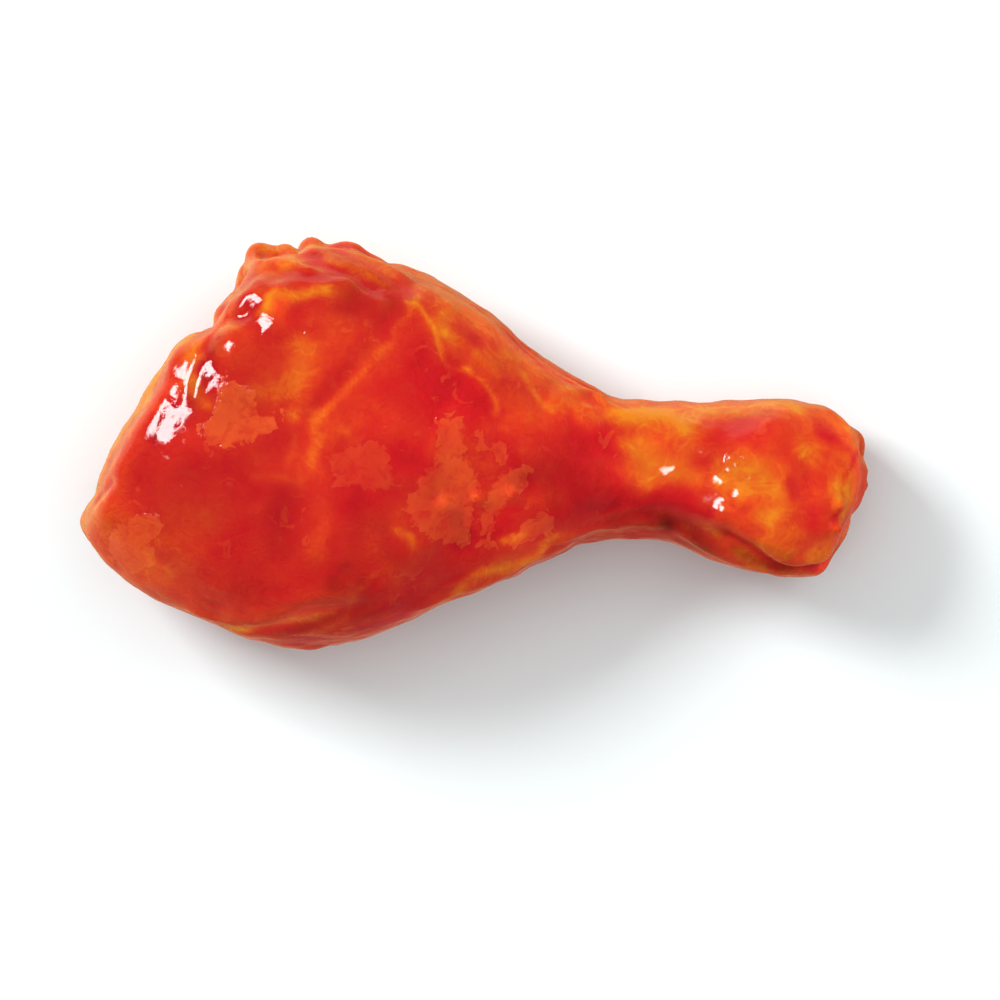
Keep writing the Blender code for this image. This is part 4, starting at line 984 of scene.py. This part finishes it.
LIGHT_ON_TOP = 1.16
SAUCE_COLOURS = (
    (0.00, lit_colour(192, 28, 34)),
    (0.22, lit_colour(214, 32, 36)),
    (0.40, lit_colour(219, 48, 36)),
    (0.55, lit_colour(228, 68, 35)),
    (0.70, lit_colour(236, 92, 34)),
    (0.85, lit_colour(240, 114, 34)),
    (1.00, lit_colour(244, 142, 36)),
)
SHEEN_AND_FILM_COLOUR = lit_colour(246, 100, 50)
# the near-black red that the painted shade darkens the sauce towards
SHADE_COLOUR = lit_colour(60, 16, 16)

# The sauce's patterns, each as its noise's cells to a millimetre, detail and distortion.
CLOUDY = (0.16, 5.0, 0.8)
STRINGY = (0.55, 6.0, 1.6)
GRAINY = (1.6, 4.0)
RAGGED = (0.45, 7.0, 1.4)
SOFT_PLACES = (0.14, 2.0)
TORN = (0.55, 4.0, 1.0)
FLECKS = (0.36, 5.0, 1.0)
FLECK_PLACES = (0.10, 2.0)
VEINS = (0.20, 3.0, 0.9)
WAVY = (0.45, 4.0, 0.6)

# The values between which a pattern starts and is full.
SOFT_RANGE = (0.0, 0.16)
TORN_RANGE = (-0.16, 0.02)
FLECK_RANGE = (0.08, 0.11)
FLECK_PLACE_RANGE = (0.0, 0.16)
VEIN_RANGE = (0.07, 0.0)
THIN_RANGE = (0.42, 0.66)

# How much each pattern changes the tint, the cover of the painted reflections and smears, their edges in
# millimetres and the roughness.
CLOUDY_TINT = 0.22
STRINGY_TINT = 0.22
GRAINY_TINT = 0.10
VEIN_TINT = 0.11
SHEEN_AND_SMEAR_TINT = 0.20
SHEEN_AND_SMEAR_COVER = 0.75
FLECK_COVER = 0.30
AVERAGE_COVER = 0.95
CLOUDY_COVER = 1.4
TORN_COVER = 0.45
RAGGED_EDGE = 4.0
SHARPEST_EDGE = 0.20
EDGE_START = 0.1
ROUGHNESS = 0.34
GRAINY_ROUGHNESS = 0.20


def sauce_material():
    material = bpy.data.materials.new("wet_red_sauce")
    material.use_nodes = True
    tree = material.node_tree
    n = Nodes(tree)
    shader = tree.nodes["Principled BSDF"]
    coordinates = tree.nodes.new("ShaderNodeTexCoord")
    scale = tree.nodes.new("ShaderNodeVectorMath")
    scale.operation = "SCALE"
    scale.inputs["Scale"].default_value = 1.0 / METRES
    n.link(coordinates.outputs["Object"], scale.inputs[0])
    place = scale.outputs[0]

    cloudy = n.noise(place, *CLOUDY)
    stringy = n.noise(place, *STRINGY)
    grainy = n.noise(place, *GRAINY)
    tint = n.plus(n.attribute("tint"), n.times(cloudy, CLOUDY_TINT))
    tint = n.plus(tint, n.times(stringy, STRINGY_TINT))
    tint = n.plus(tint, n.times(grainy, GRAINY_TINT))

    # painted reflections and smears of a lighter film, ragged at the edge and torn inside, and flecks of the
    # lighter film
    inside = n.plus(n.attribute("sheen_and_film"), n.times(n.noise(place, *RAGGED), RAGGED_EDGE))
    softness = n.between(n.noise(place, *SOFT_PLACES), *SOFT_RANGE)
    sheen_and_film = n.math("DIVIDE", n.plus(inside, EDGE_START), n.plus(softness, SHARPEST_EDGE), clamp=True)
    torn = n.between(n.noise(place, *TORN), *TORN_RANGE)
    cover = n.times(n.attribute("cover"), n.plus(n.times(torn, TORN_COVER), 1.0 - TORN_COVER))
    cover = n.times(cover, n.plus(n.times(cloudy, CLOUDY_COVER), AVERAGE_COVER))
    fleck_places = n.between(n.noise(place, *FLECK_PLACES), *FLECK_PLACE_RANGE)
    flecks = n.times(n.between(n.noise(place, *FLECKS), *FLECK_RANGE), fleck_places)
    sheen_and_smear = n.math("MAXIMUM", n.times(sheen_and_film, cover), n.times(flecks, FLECK_COVER))

    # veins, only where the sauce lies thin
    veins = n.between(n.math("ABSOLUTE", n.noise(place, *VEINS)), *VEIN_RANGE)
    thin = n.between(n.attribute("tint"), *THIN_RANGE)
    tint = n.plus(tint, n.times(n.times(veins, thin), VEIN_TINT))
    tint = n.plus(tint, n.times(sheen_and_smear, SHEEN_AND_SMEAR_TINT))
    sauce = n.ramp(tint, SAUCE_COLOURS)
    # the painted reflections and the lighter smears, mixed in as a paler colour
    sauce = n.mix(n.times(sheen_and_smear, SHEEN_AND_SMEAR_COVER), sauce, SHEEN_AND_FILM_COLOUR)
    # painted shade and light: darker towards a near-black red above 0, lighter past the sauce's own colour
    # below 0
    n.link(n.mix(n.attribute("shade"), sauce, SHADE_COLOUR, clamp=False), shader.inputs["Base Color"])

    n.link(n.plus(ROUGHNESS, n.times(grainy, GRAINY_ROUGHNESS)), shader.inputs["Roughness"])
    shader.inputs["Specular IOR Level"].default_value = 0.0
    shader.inputs["Coat Weight"].default_value = 1.0
    shader.inputs["Coat Roughness"].default_value = 0.05
    shader.inputs["Coat IOR"].default_value = 1.46
    shader.inputs["Subsurface Weight"].default_value = 0.45
    shader.inputs["Subsurface Radius"].default_value = (1.0, 0.25, 0.12)
    shader.inputs["Subsurface Scale"].default_value = 0.004

    sheen_and_film_edge = n.bump(sheen_and_film, 0.0001, 0.5)
    n.link(n.bump(stringy, 0.0005, 0.5, sheen_and_film_edge), shader.inputs["Normal"])
    n.link(n.bump(n.noise(place, *WAVY), 0.0004, 0.3, sheen_and_film_edge), shader.inputs["Coat Normal"])
    return material


def make_drumstick(material):
    skin = drumstick_skin()
    mesh = skin_mesh(skin)
    store(mesh, "tint", tint_of(skin))
    # painted shade and light, from its strokes
    store(mesh, "shade", fold_field(skin, strokes(PAINTED_SHADE_AND_LIGHT)))
    sheen_and_film, cover = sheen_and_film_of(skin)
    store(mesh, "sheen_and_film", sheen_and_film)
    store(mesh, "cover", cover)
    mesh.materials.append(material)
    drumstick = bpy.data.objects.new("sauced_drumstick", mesh)
    bpy.context.scene.collection.objects.link(drumstick)
    return drumstick


# The photograph's frame: its scale, and the pixel where the middle of the drumstick's box lies.
PHOTO_PIXELS = 1000.0
PIXEL_SIZE = 0.130 / 787.0
MIDDLE_PIXEL = (474.5, 443.5)
CAMERA_HEIGHT = 1.5
WIDEST_LEVEL = 0.020


def make_camera():
    data = bpy.data.cameras.new("camera")
    data.sensor_width = 36.0
    data.lens = data.sensor_width * (CAMERA_HEIGHT - WIDEST_LEVEL) / (PHOTO_PIXELS * PIXEL_SIZE)
    data.clip_end = 20.0
    camera = bpy.data.objects.new("camera", data)
    camera.location = (
        (PHOTO_PIXELS / 2.0 - MIDDLE_PIXEL[0]) * PIXEL_SIZE,
        (MIDDLE_PIXEL[1] - PHOTO_PIXELS / 2.0) * PIXEL_SIZE,
        CAMERA_HEIGHT,
    )
    bpy.context.scene.collection.objects.link(camera)
    bpy.context.scene.camera = camera


# The studio: one soft box on the upper left, a weak fill on the right, a ceiling, and walls whose
# brightness goes from straight down (0) to straight up (1). What the gloss mirrors below the horizon is
# the floor close by, warm from the sauce, and brightest on the side of the box (1).
BOX_AZIMUTH = math.radians(145.0)
BOX_ELEVATION = math.radians(44.0)
BOX_DISTANCE = 1.6
BOX_SIZE = 0.52
BOX_POWER = 19.6
FILL_AZIMUTH = math.radians(25.0)
FILL_ELEVATION = math.radians(32.0)
FILL_SIZE = 1.2
FILL_POWER = 6.6
CEILING_HEIGHT = 2.5
CEILING_SIZE = 3.0
CEILING_POWER = 45.5
WALLS = ((0.0, 0.5), (0.58, 0.45), (0.70, 0.12), (1.0, 0.02))
WALLS_IN_GLOSS = ((0.0, 0.0), (0.46, 0.0), (0.52, 0.16), (0.58, 0.08), (0.68, 0.02), (1.0, 0.015))
HORIZON = (0.49, 0.52)
FLOOR_IN_GLOSS = (
    (0.35, (0.38, 0.13, 0.10, 1.0)),
    (0.60, (0.82, 0.36, 0.20, 1.0)),
    (0.80, (0.98, 0.80, 0.62, 1.0)),
)

# The floor's size in metres, its colours under the drumstick, tinted blue-green there against the red light
# that the sauce throws on it, in the open and in faint clouds, how many clouds there are to a metre, and how
# far from the middle the open floor starts and is all open.
FLOOR_RADIUS = 3.0
FLOOR_SEGMENTS = 96
FLOOR_UNDER = (0.83, 0.925, 0.935, 1.0)
FLOOR_OPEN = (0.87, 0.92, 0.925, 1.0)
FLOOR_CLOUDS = (0.86, 0.92, 0.925, 1.0)
CLOUDS_TO_A_METRE = 6.0
OPEN_FROM = 0.03
OPEN_BEYOND = 0.13


def add_soft_light(name, place, size, power):
    data = bpy.data.lights.new(name, "AREA")
    data.shape = "SQUARE"
    data.size = size
    data.energy = power
    light = bpy.data.objects.new(name, data)
    light.location = place
    light.rotation_euler = place.to_track_quat("Z", "Y").to_euler()
    bpy.context.scene.collection.objects.link(light)
    return light


def towards(azimuth, elevation):
    flat = math.cos(elevation)
    return Vector((flat * math.cos(azimuth), flat * math.sin(azimuth), math.sin(elevation)))


def make_lights():
    add_soft_light("soft_box", BOX_DISTANCE * towards(BOX_AZIMUTH, BOX_ELEVATION), BOX_SIZE, BOX_POWER)
    fill = add_soft_light("fill", BOX_DISTANCE * towards(FILL_AZIMUTH, FILL_ELEVATION), FILL_SIZE, FILL_POWER)
    ceiling = add_soft_light("ceiling", Vector((0.0, 0.0, CEILING_HEIGHT)), CEILING_SIZE, CEILING_POWER)
    fill.visible_glossy = False
    ceiling.visible_glossy = False


def make_walls():
    world = bpy.data.worlds.new("studio")
    world.use_nodes = True
    n = Nodes(world.node_tree)
    coordinates = world.node_tree.nodes.new("ShaderNodeTexCoord")
    split = world.node_tree.nodes.new("ShaderNodeSeparateXYZ")
    n.link(coordinates.outputs["Generated"], split.inputs[0])
    up = n.plus(n.times(split.outputs["Z"], 0.5), 0.5)
    rays = world.node_tree.nodes.new("ShaderNodeLightPath")
    lit, reflected = (n.ramp(up, [(place, (level, level, level, 1.0)) for place, level in walls])
                      for walls in (WALLS, WALLS_IN_GLOSS))
    box_side = towards(BOX_AZIMUTH, 0.0)
    sideways = n.plus(n.times(split.outputs["X"], 0.5 * box_side.x),
                      n.times(split.outputs["Y"], 0.5 * box_side.y))
    floor_near = n.ramp(n.plus(sideways, 0.5), FLOOR_IN_GLOSS)
    reflected = n.mix(n.between(up, *HORIZON), floor_near, reflected)
    n.link(n.mix(rays.outputs["Is Glossy Ray"], lit, reflected),
           world.node_tree.nodes["Background"].inputs["Color"])
    bpy.context.scene.world = world


def make_floor():
    mesh = bpy.data.meshes.new("floor")
    shape = bmesh.new()
    bmesh.ops.create_circle(shape, cap_ends=True, segments=FLOOR_SEGMENTS, radius=FLOOR_RADIUS)
    shape.to_mesh(mesh)
    shape.free()
    floor = bpy.data.objects.new("floor", mesh)
    bpy.context.scene.collection.objects.link(floor)
    material = bpy.data.materials.new("white_floor")
    material.use_nodes = True
    n = Nodes(material.node_tree)
    shader = material.node_tree.nodes["Principled BSDF"]
    coordinates = material.node_tree.nodes.new("ShaderNodeTexCoord")
    faint = n.noise(coordinates.outputs["Object"], CLOUDS_TO_A_METRE)
    away = material.node_tree.nodes.new("ShaderNodeVectorMath")
    away.operation = "LENGTH"
    n.link(coordinates.outputs["Object"], away.inputs[0])
    # blue-green near the drumstick, painted against the sauce's red bounce light on the floor
    base = n.mix(n.between(away.outputs["Value"], OPEN_FROM, OPEN_BEYOND), FLOOR_UNDER, FLOOR_OPEN)
    n.link(n.mix(n.plus(faint, 0.5), base, FLOOR_CLOUDS), shader.inputs["Base Color"])
    shader.inputs["Roughness"].default_value = 0.7
    shader.inputs["Specular IOR Level"].default_value = 0.1
    mesh.materials.append(material)
    floor.visible_glossy = False
    return floor


bpy.context.scene.view_settings.view_transform = "Standard"
make_camera()
make_lights()
make_walls()
make_floor()

sauce = sauce_material()
drumstick = make_drumstick(sauce)
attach(drumstick, "root")
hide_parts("drumstick")
